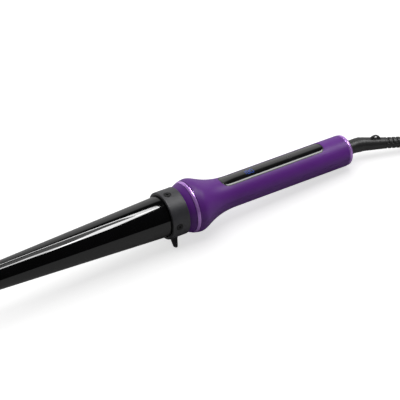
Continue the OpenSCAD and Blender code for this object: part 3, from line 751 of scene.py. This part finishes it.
def boot_radius(d):
    """Radius at distance d from the bend: a straight neck, a knuckle and a taper."""
    taper = BOOT_R - 0.1 if d < 0 else BOOT_R + (RELIEF_R - BOOT_R) * d / BOOT_LEN
    return taper + KNUCKLE * math.exp(-((d + 0.5) / KNUCKLE_LEN) ** 2)


neck_start = BOOT_START - BEND_S
boot_steps = [neck_start + (BOOT_LEN - neck_start) * k / 80 for k in range(81)]
boot_mesh = tube_mesh([boot_middle(d) for d in boot_steps], [boot_radius(d) for d in boot_steps], WAND)
boot = add_piece("outlet_boot", boot_mesh, "swivel", "boot_rubber", "cord_boot")
arch = [(LOOP_S + LOOP_HALF * math.cos(a), LOOP_FOOT_Z + LOOP_RISE * math.sin(a) ** 1.3)
        for a in (math.pi * k / 24 for k in range(25))]
carve(boot, prism(arch, LOOP_T, BOOT), "UNION")
eye = BOOT @ Matrix.Translation((LOOP_S, 0, LOOP_Z)) @ Matrix.Rotation(math.radians(90), 4, "Z")
carve(boot, rod(-5, 5, LOOP_HOLE_R, eye, steps=48))
carve(boot, rod(BOOT_START - 1, BOOT_START + BORE_DEPTH, BORE_R, WAND, steps=96))
moulded(boot, voxel=0.2, rounds=4)
print("boot skin has", len(boot.data.polygons), "faces")

# %% [markdown]
# The strain relief is a rubber sleeve with ribs, so that it bends evenly. Two webs join the ribs, or
# the sleeve would stretch like a spring. The ribs are cut as a lathe whose radius depends on both the
# station and the angle: dense rings at each rib's edge give the walls their slope.

# %% Strain relief
RELIEF_LEN, RIB_PITCH, RIB_COUNT, RIBS_START = 38.0, 3.7, 8, 2.2
RIBS_END = RIBS_START + RIB_COUNT * RIB_PITCH
CORE_R, SLOT_W, SLOT_SLOPE = RELIEF_R - 1.25, 1.7, 0.22
WEB_ANGLES = (106, 286)
WEB_EDGE, WEB_SLOPE = 0.92, 0.05
CORD_HOLE_R, CORD_HOLE_DEPTH = 3.45, 6


def relief_radius(x, angle, radius):
    """Sleeve radius at distance x behind the boot. Only the outside is ribbed."""
    if radius != RELIEF_R:
        return radius
    outer = RELIEF_R - 0.012 * x
    if x < RIBS_START or x > RIBS_END:
        return outer - 0.25 * smooth_step((x - RIBS_END) / 4)
    into = (x - RIBS_START) % RIB_PITCH
    depth = smooth_step(into / SLOT_SLOPE) * smooth_step((SLOT_W - into) / SLOT_SLOPE)
    web = max(math.cos(angle - math.radians(middle)) for middle in WEB_ANGLES)
    return outer - (outer - CORE_R) * depth * (1 - smooth_step((web - WEB_EDGE) / WEB_SLOPE))


def relief_section():
    """Section of the sleeve, with its stations dense at the walls of each slot."""
    slot = (0, 0.06, 0.12, 0.18, 0.24, 0.85, 1.46, 1.52, 1.58, 1.64, 1.7, 2.7)
    stations = {round(RIBS_START + rib * RIB_PITCH + x, 3) for rib in range(RIB_COUNT) for x in slot}
    stations |= {0.0, 1.0, 2.0, 32.2, 33.5, 35.0, 36.4, 37.4}
    hole_end = RELIEF_LEN - CORD_HOLE_DEPTH
    return [(x, RELIEF_R) for x in sorted(stations)] + [
        (RELIEF_LEN - 0.2, RELIEF_R), (RELIEF_LEN, 3.95), (RELIEF_LEN, CORD_HOLE_R),
        (hole_end, CORD_HOLE_R), (hole_end, 0), (0, 0),
    ]


relief_place = BOOT @ Matrix.Translation((BOOT_LEN, 0, 0))
relief = add_piece("ribbed_sleeve", lathe_mesh(relief_section(), relief_place, 96, relief_radius, 30),
                   "swivel", "boot_rubber", "strain_relief")
print("sleeve ends at", [round(x, 4) for x in relief_place @ Vector((RELIEF_LEN, 0, 0))])

# %% [markdown]
# The tie is a hook-and-loop strap that goes once round the hank and overlaps itself on top. It is a
# flat ribbon swept round a rounded rectangle: its thickness and its round edges are in the section,
# and the overlap steps up by its own thickness before it lies down again.

# %% Tie
TIE_W, TIE_T = 14.0, 1.0
TIE_HALF_W, TIE_H, TIE_ROUND = 14.2, 22.6, 4.0
TIE_END_SHARES = (1.0, 0.9, 0.62)


def strap_line():
    """Points and outward directions round the hank, in the YZ plane, from the top and over itself."""
    half, top, r = TIE_HALF_W - TIE_T / 2, TIE_H - TIE_T / 2, TIE_ROUND
    line = [((y, top), (0, 1)) for y in (-4, 0, 4, 7.5)]
    corners = [((half - r, top - r), 90, 0), ((half - r, TIE_T / 2 + r), 0, -90),
               ((-half + r, TIE_T / 2 + r), -90, -180), ((-half + r, top - r), 180, 90)]
    for (y, z), first, last in corners:
        for k in range(9):
            a = math.radians(first + (last - first) * k / 8)
            line.append(((y + r * math.cos(a), z + r * math.sin(a)), (math.cos(a), math.sin(a))))
    for y in (-8.5, -7, -5.5, -4, -2, 0, 2, 4, 6, 7.5):
        line.append(((y, top + (TIE_T + 0.1) * smooth_step((y + 8.5) / 4)), (0, 1)))
    return line


def strap_mesh():
    """Flat ribbon with soft edges, narrower at its last three points."""
    line = strap_line()
    widths = [1.0] * (len(line) - 3) + list(TIE_END_SHARES)
    rings = []
    for ((y, z), (out_y, out_z)), share in zip(line, widths):
        w, t = TIE_W / 2 * share, TIE_T / 2
        upper = [(-w, t * 0.4), (-w + 0.3, t), (w - 0.3, t), (w, t * 0.4)]
        section = upper + [(x, -out) for x, out in reversed(upper)]
        rings.append([GROUND @ Vector((HANK_X + x, y + out_y * out, z + out_z * out)) for x, out in section])
    return ring_mesh(rings, 50)


tie = add_piece("hank_tie", strap_mesh(), "swivel", "tie_strap", "cord_tie")
print("tie faces:", len(tie.data.polygons))

# %% [markdown]
# The plug is a flat two-pin moulding: wide at its face, drawn in where fingers hold it, with ribs on
# the grip. Rounded sections lofted along its length give that shape with few rings, and the ribs are
# rings of their own so that they show in the outline.

# %% Plug
PLUG_AT = Vector((440.0, -14.0, 6.5))
PLUG_STATIONS = [
    # distance from the cord's end, half width, half height
    (0.0, 5.0, 4.2), (0.4, 5.8, 4.9), (3, 7.6, 5.6), (6, 9.0, 5.9), (9, 10.2, 6.0), (12, 11.6, 6.0),
    (15, 13.6, 6.1), (18, 15.8, 6.3), (21, 17.0, 6.5), (25, 17.4, 6.5), (32.6, 17.5, 6.5),
    (33.6, 17.2, 6.2), (34.0, 16.6, 5.6),
]
PLUG_LEN = PLUG_STATIONS[-1][0]
GRIP_FROM, GRIP_TO, GRIP_PITCH, GRIP_DEPTH = 4, 16, 2.4, 0.35
SQUARE_Y, SQUARE_Z = 0.38, 0.475


def plug_size(x):
    """Half width and half height of the plug at distance x."""
    for (x0, w0, h0), (x1, w1, h1) in zip(PLUG_STATIONS, PLUG_STATIONS[1:]):
        if x <= x1:
            t = (x - x0) / (x1 - x0)
            return w0 + (w1 - w0) * t, h0 + (h1 - h0) * t
    return PLUG_STATIONS[-1][1:]


def squared(value, power):
    """Sine or cosine pushed towards its ends, which squares up an ellipse."""
    return math.copysign(abs(value) ** power, value)


def plug_mesh():
    """Squared ellipses along the plug, with ribs on the grip."""
    rings = []
    for x in sorted({round(PLUG_LEN * k / 68, 3) for k in range(69)} | {0.2, 33.6, 33.8}):
        half_w, half_h = plug_size(x)
        wave = 1 - math.cos(2 * math.pi * (x - GRIP_FROM) / GRIP_PITCH)
        rib = GRIP_DEPTH * wave / 2 if GRIP_FROM < x < GRIP_TO else 0.0
        rings.append([
            GROUND @ (PLUG_AT + Vector((x, (half_w - rib) * squared(math.cos(a), SQUARE_Y),
                                        (half_h - rib) * squared(math.sin(a), SQUARE_Z))))
            for a in (2 * math.pi * k / 72 for k in range(72))
        ])
    return ring_mesh(rings, 50)


plug = add_piece("two_pin_plug", plug_mesh(), "swivel", "plug_plastic", "plug_body")
plug_relief_section = [(-14, CORD_HOLE_R), (-14, 4.0)]
for groove in range(5):
    x, rise = -13 + 2.4 * groove, 0.1 * groove
    plug_relief_section += [(x, 4.1 + rise), (x + 1.3, 4.15 + rise), (x + 1.45, 3.75), (x + 2.1, 3.75)]
plug_relief_section += [(-0.8, 4.6), (0.6, 4.6), (0.6, CORD_HOLE_R)]
plug_relief = add_piece(
    "plug_sleeve", lathe_mesh(plug_relief_section, GROUND @ Matrix.Translation(PLUG_AT), 64),
    "swivel", "plug_plastic", "plug_relief",
)
print("plug is", PLUG_LEN, "mm long")

# %% [markdown]

# %% [markdown]
# Now the finishes. Moulded plastics differ in a few things only: colour that drifts a little, a grain
# in the skin, uneven gloss where hands have been, and edges that are rubbed lighter. Each effect is a
# node group with named inputs, built once and placed in every material with that material's values.
# A few helpers keep the wiring of those groups short.

# %% Node group tools
def new_group(name, inputs, outputs):
    """Empty shader group with float or colour sockets, its input node and its output node."""
    kinds = {"float": "NodeSocketFloat", "colour": "NodeSocketColor"}
    group = bpy.data.node_groups.new(name, "ShaderNodeTree")
    for socket, kind, value in inputs:
        made = group.interface.new_socket(name=socket, in_out="INPUT", socket_type=kinds[kind])
        made.default_value = value
    for socket, kind in outputs:
        group.interface.new_socket(name=socket, in_out="OUTPUT", socket_type=kinds[kind])
    return group, group.nodes.new("NodeGroupInput").outputs, group.nodes.new("NodeGroupOutput").inputs


def add_node(tree, kind, links=(), **settings):
    """Adds a node, sets its properties and feeds its inputs: a link for a socket, else a value."""
    node = tree.nodes.new("ShaderNode" + kind)
    for key, value in settings.items():
        setattr(node, key, value)
    for key, source in dict(links).items():
        if hasattr(source, "is_linked"):
            tree.links.new(source, node.inputs[key])
        else:
            node.inputs[key].default_value = source
    return node


def object_place(tree):
    """Position on the piece, so that a pattern keeps its real size."""
    return add_node(tree, "TexCoord").outputs["Object"]


def object_noise(tree, scale, detail=3.0, rough=0.55):
    """Noise value with a scale per metre."""
    return add_node(tree, "TexNoise", {"Vector": object_place(tree), "Scale": scale, "Detail": detail,
                                       "Roughness": rough}).outputs["Fac"]


def maths(tree, operation, first, second=0.5, **settings):
    """Result of one Math node."""
    return add_node(tree, "Math", {0: first, 1: second}, operation=operation, **settings).outputs[0]


def carried(tree, value, start, end, low=0.0, high=1.0):
    """Value carried from the range start to end into the range low to high."""
    return add_node(tree, "MapRange", {"Value": value, "From Min": start, "From Max": end,
                                       "To Min": low, "To Max": high}).outputs["Result"]


def mix_colours(tree, factor, first, second):
    """Colour between two colours, by a factor."""
    node = add_node(tree, "Mix", data_type="RGBA")
    for socket, source in ((0, factor), (6, first), (7, second)):
        tree.links.new(source, node.inputs[socket])
    return node.outputs[2]


print("group tools ready")

# %% Colour drift and moulded grain
BODY_GREY, DRIFT_GREY, WORN_GREY = [(value, value, value, 1) for value in (0.1, 0.2, 0.3)]

colour_drift, given, gives = new_group(
    "Colour drift",
    [("Main Colour", "colour", BODY_GREY), ("Drift Colour", "colour", DRIFT_GREY),
     ("Patches per Metre", "float", 60.0)],
    [("Colour", "colour")],
)
patches = carried(colour_drift, object_noise(colour_drift, given["Patches per Metre"], 4.0), 0.35, 0.7)
drifted = mix_colours(colour_drift, patches, given["Main Colour"], given["Drift Colour"])
colour_drift.links.new(drifted, gives["Colour"])

moulded_grain, given, gives = new_group(
    "Moulded grain", [("Grains per Metre", "float", 3000.0), ("Pebble", "float", 0.4)], [("Height", "float")]
)
fine = object_noise(moulded_grain, given["Grains per Metre"], 2.0)
pebbles = add_node(moulded_grain, "TexVoronoi", {"Vector": object_place(moulded_grain),
                                                 "Scale": given["Grains per Metre"]})
pits = maths(moulded_grain, "MULTIPLY", pebbles.outputs["Distance"], given["Pebble"])
moulded_grain.links.new(maths(moulded_grain, "SUBTRACT", fine, pits), gives["Height"])
print("groups:", sorted(g.name for g in bpy.data.node_groups))

# %% [markdown]
# Hands leave two marks. Gloss gets uneven, which is a noise that moves Roughness between a smooth and
# a dull end. Edges get rubbed: where the rounded normal of a Bevel node and the true normal differ,
# there is an edge, and a noise breaks the rubbing up so that it isn't a drawn line.

# %% Handled gloss and rubbed edges
handled_gloss, given, gives = new_group(
    "Handled gloss",
    [("Smooth", "float", 0.3), ("Dull", "float", 0.5), ("Marks per Metre", "float", 90.0)],
    [("Roughness", "float")],
)
smears = object_noise(handled_gloss, given["Marks per Metre"], 5.0, 0.6)
gloss = carried(handled_gloss, smears, 0.3, 0.72, given["Smooth"], given["Dull"])
handled_gloss.links.new(gloss, gives["Roughness"])

rubbed_edges, given, gives = new_group(
    "Rubbed edges",
    [("Width", "float", 0.0004), ("Break Up", "float", 700.0), ("Body Colour", "colour", BODY_GREY),
     ("Rubbed Colour", "colour", WORN_GREY), ("Amount", "float", 0.5)],
    [("Colour", "colour")],
)
soft_normal = add_node(rubbed_edges, "Bevel", {"Radius": given["Width"]}, samples=4).outputs["Normal"]
true_normal = add_node(rubbed_edges, "NewGeometry").outputs["Normal"]
facing = add_node(rubbed_edges, "VectorMath", {0: soft_normal, 1: true_normal}, operation="DOT_PRODUCT")
edge = carried(rubbed_edges, facing.outputs["Value"], 0.99, 0.82)
broken = maths(rubbed_edges, "MULTIPLY", edge, object_noise(rubbed_edges, given["Break Up"]))
mask = maths(rubbed_edges, "MULTIPLY", broken, given["Amount"], use_clamp=True)
rubbed_colour = mix_colours(rubbed_edges, mask, given["Body Colour"], given["Rubbed Colour"])
rubbed_edges.links.new(rubbed_colour, gives["Colour"])
print("groups:", sorted(g.name for g in bpy.data.node_groups))

# %% [markdown]
# The strap round the lead is woven: two crossed waves give its threads, and a fine noise its fuzz.
# Polished and drawn metal has streaks instead, a noise stretched along the wand.

# %% Strap weave and drawn streaks
strap_weave, given, gives = new_group(
    "Strap weave", [("Threads per Metre", "float", 1400.0)], [("Height", "float")]
)
axes = add_node(strap_weave, "SeparateXYZ", {0: object_place(strap_weave)}).outputs
threads = []
for along in (axes["X"], maths(strap_weave, "ADD", axes["Y"], axes["Z"])):
    turns = maths(strap_weave, "MULTIPLY", along, given["Threads per Metre"])
    threads.append(maths(strap_weave, "SINE", maths(strap_weave, "MULTIPLY", turns, math.pi)))
crossing = maths(strap_weave, "MULTIPLY", *threads)
loops_height = maths(strap_weave, "ADD", crossing, object_noise(strap_weave, 5200.0, 2.0))
strap_weave.links.new(loops_height, gives["Height"])

drawn_streaks, given, gives = new_group(
    "Drawn streaks",
    [("Streaks per Metre", "float", 900.0), ("Smooth", "float", 0.2), ("Dull", "float", 0.4)],
    [("Height", "float"), ("Roughness", "float")],
)
STRETCH = (0.04, 1.0, 1.0)
stretched = add_node(drawn_streaks, "Mapping", {"Vector": object_place(drawn_streaks), "Scale": STRETCH})
streaks = add_node(drawn_streaks, "TexNoise", {"Vector": stretched.outputs[0], "Detail": 3.0,
                                               "Scale": given["Streaks per Metre"]}).outputs["Fac"]
drawn_streaks.links.new(streaks, gives["Height"])
drawn_streaks.links.new(carried(drawn_streaks, streaks, 0.3, 0.7, given["Smooth"], given["Dull"]),
                        gives["Roughness"])
print("groups:", sorted(g.name for g in bpy.data.node_groups))

# %% [markdown]
# One recipe then makes any moulded or metal finish from those groups. The shader and its plain
# numbers stay in the material: only what changes over the surface comes out of a group.

# %% Finish recipe
STREAK_DEPTH = 0.004
finishes = {}


def use_group(tree, group, **values):
    """Places a group in a material and sets its inputs."""
    node = tree.nodes.new("ShaderNodeGroup")
    node.node_tree = group
    for key, value in values.items():
        node.inputs[key.replace("_", " ")].default_value = value
    return node


def add_bump(tree, height, depth, strength=0.7):
    """Feeds the shader's normal from a height, with its depth in millimetres."""
    bump = add_node(tree, "Bump", {"Height": height, "Distance": depth * MM, "Strength": strength})
    tree.links.new(bump.outputs["Normal"], tree.nodes["Principled BSDF"].inputs["Normal"])


def make_finish(name, main, drift, gloss, patches=60, marks=90, grain=None, rubbed=None, streaks=None,
                **shader_values):
    """Finish from a main and a drifting colour, a gloss range, a grain (per metre, depth in mm, pebble),
    rubbed edges (colour, amount, width in mm) and streaks (per metre)."""
    material = bpy.data.materials.new(name)
    material.use_nodes = True
    tree = material.node_tree
    shader = tree.nodes["Principled BSDF"]
    for key, value in shader_values.items():
        shader.inputs[key.replace("_", " ")].default_value = value
    colour = use_group(tree, colour_drift, Main_Colour=(*main, 1), Drift_Colour=(*drift, 1),
                       Patches_per_Metre=patches).outputs["Colour"]
    if rubbed:
        worn, amount, width = rubbed
        edges = use_group(tree, rubbed_edges, Rubbed_Colour=(*worn, 1), Amount=amount, Width=width * MM)
        tree.links.new(colour, edges.inputs["Body Colour"])
        colour = edges.outputs["Colour"]
    tree.links.new(colour, shader.inputs["Base Color"])
    ends = {"Smooth": gloss[0], "Dull": gloss[1]}
    if streaks:
        surface = use_group(tree, drawn_streaks, Streaks_per_Metre=streaks, **ends)
        add_bump(tree, surface.outputs["Height"], STREAK_DEPTH)
    else:
        surface = use_group(tree, handled_gloss, Marks_per_Metre=marks, **ends)
    tree.links.new(surface.outputs["Roughness"], shader.inputs["Roughness"])
    if grain:
        per_metre, depth, pebble = grain
        skin = use_group(tree, moulded_grain, Grains_per_Metre=per_metre, Pebble=pebble)
        add_bump(tree, skin.outputs["Height"], depth)
    finishes[name] = material
    return material


def grey(value, tint=0.0):
    """Neutral colour, with a little blue if wanted."""
    return (value, value, value + tint)


print("recipe ready; a light grey is", grey(0.5))

# %% Finishes of the outside
make_finish("black_barrel_coat", grey(0.0014), grey(0.0022, 0.0004), (0.03, 0.06), marks=60,
            grain=(2600, 0.0003, 0))
make_finish("cool_tip_plastic", grey(0.014), grey(0.02), (0.38, 0.5), grain=(3600, 0.012, 0.5),
            rubbed=(grey(0.07), 0.5, 0.3))
# The collar's edges are painted lighter than wear alone would make them: partly rubbed wear, partly a painted
# highlight along its rounded edges.
make_finish("collar_plastic", (0.026, 0.026, 0.03), (0.034, 0.034, 0.039), (0.36, 0.5),
            grain=(3200, 0.02, 0.5), rubbed=(grey(0.16), 0.55, 0.5))
make_finish("purple_soft_touch", (0.106, 0.0175, 0.212), (0.116, 0.02, 0.23), (0.38, 0.47), patches=25,
            grain=(5200, 0.008, 0.5), rubbed=((0.2, 0.07, 0.4), 0.25, 0.25), Sheen_Weight=0.03,
            Specular_IOR_Level=0.28)
make_finish("lilac_metal", (0.5, 0.25, 0.71), (0.54, 0.28, 0.75), (0.22, 0.28), streaks=5200, Metallic=0.4)
make_finish("panel_gloss", grey(0.004), grey(0.007, 0.001), (0.04, 0.09), marks=140,
            grain=(2400, 0.0004, 0), Coat_Weight=0.4)
make_finish("panel_bezel_plastic", (0.012, 0.008, 0.018), (0.02, 0.014, 0.028), (0.4, 0.6),
            grain=(4000, 0.01, 0.5))
make_finish("blackened_screw", grey(0.006), grey(0.012, 0.001), (0.3, 0.45), grain=(2600, 0.01, 0.2),
            rubbed=(grey(0.12), 0.5, 0.25), Metallic=0.5)
make_finish("boot_rubber", grey(0.013), grey(0.019), (0.36, 0.5), grain=(4200, 0.015, 0.5),
            rubbed=(grey(0.06), 0.5, 0.4))
make_finish("cord_rubber", grey(0.011), grey(0.016), (0.42, 0.58), grain=(3800, 0.015, 0.4))
make_finish("plug_plastic", grey(0.013), grey(0.019), (0.34, 0.48), grain=(3000, 0.02, 0.6),
            rubbed=(grey(0.06), 0.4, 0.4))
make_finish("pin_nickel", (0.72, 0.7, 0.66), (0.8, 0.78, 0.74), (0.16, 0.3), streaks=1800, Metallic=1.0)
make_finish("insulator", (0.3, 0.28, 0.24), (0.36, 0.33, 0.29), (0.5, 0.65), grain=(3000, 0.01, 0.4))
print(len(finishes), "finishes so far")

# %% [markdown]
# The strap, the digits and the touch marks are not plain mouldings. The strap takes its bump from the
# weave group. The digits are lit, so they have an emission colour that wavers a little, as light
# through smoked plastic does.

# %% Strap, digits and marks
strap = make_finish("tie_strap", grey(0.012), grey(0.02), (0.7, 0.85), Sheen_Weight=0.3).node_tree
weave = use_group(strap, strap_weave, Threads_per_Metre=1100)
add_bump(strap, weave.outputs["Height"], 0.25, 0.8)

lit = make_finish("display_digits", (0.02, 0.05, 0.3), (0.03, 0.07, 0.4), (0.2, 0.3),
                  Emission_Strength=0.4).node_tree
glow = use_group(lit, colour_drift, Main_Colour=(0.05, 0.16, 1.0, 1), Drift_Colour=(0.08, 0.22, 1.0, 1),
                 Patches_per_Metre=900)
lit.links.new(glow.outputs["Colour"], lit.nodes["Principled BSDF"].inputs["Emission Color"])

make_finish("touch_marks", grey(0.02), grey(0.03), (0.3, 0.4))
print(len(finishes), "finishes with the strap, the digits and the marks")

# %% [markdown]
# The parts inside the shells are never seen in the picture, but they are in the model, so they get
# true finishes as well: drawn aluminium, ceramic, laminate, brass and enamelled wire.

# %% Finishes of the inside
make_finish("phenolic", (0.09, 0.045, 0.02), (0.14, 0.075, 0.035), (0.5, 0.65), patches=300,
            grain=(1500, 0.02, 0.4))
make_finish("steel", grey(0.56, 0.01), grey(0.64, 0.01), (0.2, 0.35), streaks=1500, Metallic=1.0)
make_finish("spreader_aluminium", grey(0.7, 0.02), grey(0.78, 0.02), (0.28, 0.45), streaks=900, Metallic=1.0)
make_finish("display_plastic", (0.02, 0.03, 0.05), (0.03, 0.04, 0.07), (0.2, 0.35), grain=(2500, 0.006, 0.2))
make_finish("board_laminate", (0.02, 0.13, 0.06), (0.03, 0.18, 0.085), (0.3, 0.45), patches=200,
            grain=(1800, 0.012, 0.4))
make_finish("component_black", grey(0.02), grey(0.03), (0.45, 0.6), grain=(3000, 0.012, 0.4))
make_finish("capacitor_film", (0.4, 0.16, 0.035), (0.48, 0.2, 0.05), (0.25, 0.4), grain=(900, 0.02, 0.2))
make_finish("spring_brass", (0.7, 0.47, 0.18), (0.78, 0.54, 0.22), (0.2, 0.36), streaks=1700, Metallic=1.0)
make_finish("wire_red", (0.45, 0.03, 0.025), (0.52, 0.05, 0.04), (0.35, 0.5), grain=(2500, 0.01, 0.3))
make_finish("wire_white", (0.68, 0.65, 0.58), (0.76, 0.73, 0.66), (0.5, 0.65), grain=(2200, 0.02, 0.4))
make_finish("wire_blue", (0.04, 0.14, 0.45), (0.05, 0.18, 0.52), (0.35, 0.5), grain=(2500, 0.01, 0.3))
make_finish("bearing_plastic", (0.62, 0.6, 0.54), (0.7, 0.68, 0.62), (0.35, 0.5), grain=(2800, 0.01, 0.4))
print(len(finishes), "finishes")

# %% [markdown]
# Each CAD node came in with a plain material named for its slot in the record, so the name says
# which finish it gets. The pieces made here know their slot too.

# %% Put the finishes on
OWN_FINISH = ("display_digits", "touch_marks")
for node in cad_nodes.values():
    for material_slot in node.material_slots:
        material_slot.material = finishes[material_slot.material.name.split(".")[0]]
for name, piece in pieces.items():
    piece.data.materials.clear()
    piece.data.materials.append(finishes[name if name in OWN_FINISH else piece["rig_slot"]])
print("finished pieces:", len(pieces), "and nodes:", len(cad_nodes))

# %% [markdown]
# The screws, the pins and their sleeves are shown as the CAD made them, with knife-sharp edges. A
# small Bevel modifier breaks those edges, after a Weld has joined the faces that share them.

# %% Soften the CAD pieces that show
EDGE_BREAK = 0.12 * MM
for name in ("collar_screws", "plug_pins", "plug_sleeves"):
    join = cad_nodes[name].modifiers.new("joined_faces", "WELD")
    join.merge_threshold = 0.002 * MM
    soften = cad_nodes[name].modifiers.new("soft_edges", "BEVEL")
    soften.width = EDGE_BREAK
    soften.segments = 2
    soften.limit_method = "ANGLE"
    soften.angle_limit = math.radians(40)
    soften.harden_normals = True
print("edges broken by", EDGE_BREAK, "m")

# %% [markdown]
# The floor is a wide pale sheet, and it isn't part of the object. A white sheet bright enough to look
# pure white would also throw so much light up that the underside of the wand goes flat. So the sheet
# itself is a soft grey, and a glow that only the camera sees lifts it to white.

# %% Floor
FLOOR_REACH, FLOOR_DROP = 30.0, 0.0001
FLOOR_GREY, FLOOR_ROUGH, FLOOR_GLOW = 0.8, 0.9, 0.66
floor_mesh = bpy.data.meshes.new("studio_floor")
floor_corners = [(x * FLOOR_REACH, y * FLOOR_REACH, 0) for x, y in ((-1, -1), (1, -1), (1, 1), (-1, 1))]
floor_mesh.from_pydata(floor_corners, [], [(0, 1, 2, 3)])
floor = bpy.data.objects.new("studio_floor", floor_mesh)
floor.location.z = -FLOOR_DROP
bpy.context.scene.collection.objects.link(floor)
paper = bpy.data.materials.new("studio_paper")
paper.use_nodes = True
paper_inputs = paper.node_tree.nodes["Principled BSDF"].inputs
paper_inputs["Base Color"].default_value = (FLOOR_GREY, FLOOR_GREY, FLOOR_GREY, 1)
paper_inputs["Roughness"].default_value = FLOOR_ROUGH
paper_inputs["Specular IOR Level"].default_value = 0.0
paper_inputs["Emission Strength"].default_value = FLOOR_GLOW
to_camera = add_node(paper.node_tree, "LightPath").outputs["Is Camera Ray"]
paper.node_tree.links.new(to_camera, paper_inputs["Emission Color"])
floor_mesh.materials.append(paper)
print("floor", 2 * FLOOR_REACH, "m wide")

# %% [markdown]
# Gloss shows its lights, so the lights are laid out by what the barrel should mirror. A bent row of
# soft boxes hangs overhead: its near end lies over the collar and makes the broad wedge there, and
# its two arms are thin and draw the two fine lines that run on towards the tip. A dim box fills the
# space between them, and a wide one over the handle lights its upper side and draws the bright strip
# along the panel. These boxes light the wand only. One much larger light falls on the floor alone and
# gives the soft shadow.

# %% Lights
only_floor = bpy.data.collections.new("lit_floor")
only_floor.objects.link(floor)
only_object = bpy.data.collections.new("lit_object")
for piece in [*pieces.values(), *cad_nodes.values()]:
    only_object.objects.link(piece)


def soft_box(name, middle, size, radiance, aim, receivers, turned=0.0):
    """Rectangular area light that faces a point. Radiance is what a mirror sees."""
    data = bpy.data.lights.new(name, "AREA")
    data.shape = "RECTANGLE"
    data.size, data.size_y = size
    data.energy = radiance * math.pi * size[0] * size[1]
    light = bpy.data.objects.new(name, data)
    away = Vector(middle) - Vector(aim)
    light.matrix_world = (
        Matrix.Translation(middle) @ away.to_track_quat("Z", "Y").to_matrix().to_4x4()
        @ Matrix.Rotation(turned, 4, "Z")
    )
    bpy.context.scene.collection.objects.link(light)
    light.visible_camera = False
    light.light_linking.receiver_collection = receivers
    return light


BOX_HEIGHT, AIM_NUDGE = 0.9, 0.0001
ROW_OF_BOXES = [
    # start and end (x, y) in metres, width, radiance
    ((0.11, 0.74), (0.310, 0.29), 0.045, 17.0),
    ((0.315, 0.30), (0.315, 0.03), 0.050, 16.0),
    ((0.290, 0.07), (0.190, -0.195), 0.115, 20.0),
    ((0.180, -0.15), (0.075, 0.03), 0.080, 16.0),
    ((0.070, 0.02), (0.040, 0.16), 0.035, 12.0),
    ((0.190, -0.02), (0.190, 0.42), 0.220, 1.5),
    ((0.560, -0.20), (1.300, -0.20), 0.480, 8.0),
]
for k, (start, end, width, radiance) in enumerate(ROW_OF_BOXES):
    run = Vector(end) - Vector(start)
    middle = (*((Vector(start) + Vector(end)) / 2), BOX_HEIGHT)
    below = (middle[0], middle[1] - AIM_NUDGE, 0)
    soft_box(f"overhead_box_{k + 1}", middle, (width, run.length), radiance, below, only_object,
             math.atan2(run.y, run.x) - math.pi / 2)
soft_box("floor_light", (0.1, 0.6, 2.4), (2.6, 2.6), 2.0, (0.1, 0.1, 0), only_floor)

# %% [markdown]
# The room is dark on the camera's side and overhead, with a pale wall on the far side. The wall stays
# low, so that the top of the panel mirrors the dark above it. The world's strength is built from the
# direction looked in, and what the camera itself sees of the world is plain white.

# %% Room
ROOM_DARK, WALL_PALE = 0.025, 0.85
world = bpy.data.worlds.new("studio_room")
bpy.context.scene.world = world
world.use_nodes = True
room = world.node_tree
backdrop = room.nodes["Background"].inputs
compass = add_node(room, "SeparateXYZ", {0: add_node(room, "TexCoord").outputs["Generated"]}).outputs
far_side = carried(room, compass["Y"], 0.15, 0.45)
low_down = carried(room, compass["Z"], 0.72, 0.6)
strength = carried(room, maths(room, "MULTIPLY", far_side, low_down), 0.0, 1.0, ROOM_DARK, WALL_PALE)
to_camera = add_node(room, "LightPath").outputs["Is Camera Ray"]
room.links.new(maths(room, "MAXIMUM", to_camera, strength), backdrop["Strength"])
backdrop["Color"].default_value = (1, 1, 1, 1)
bpy.context.scene.view_settings.view_transform = "Standard"
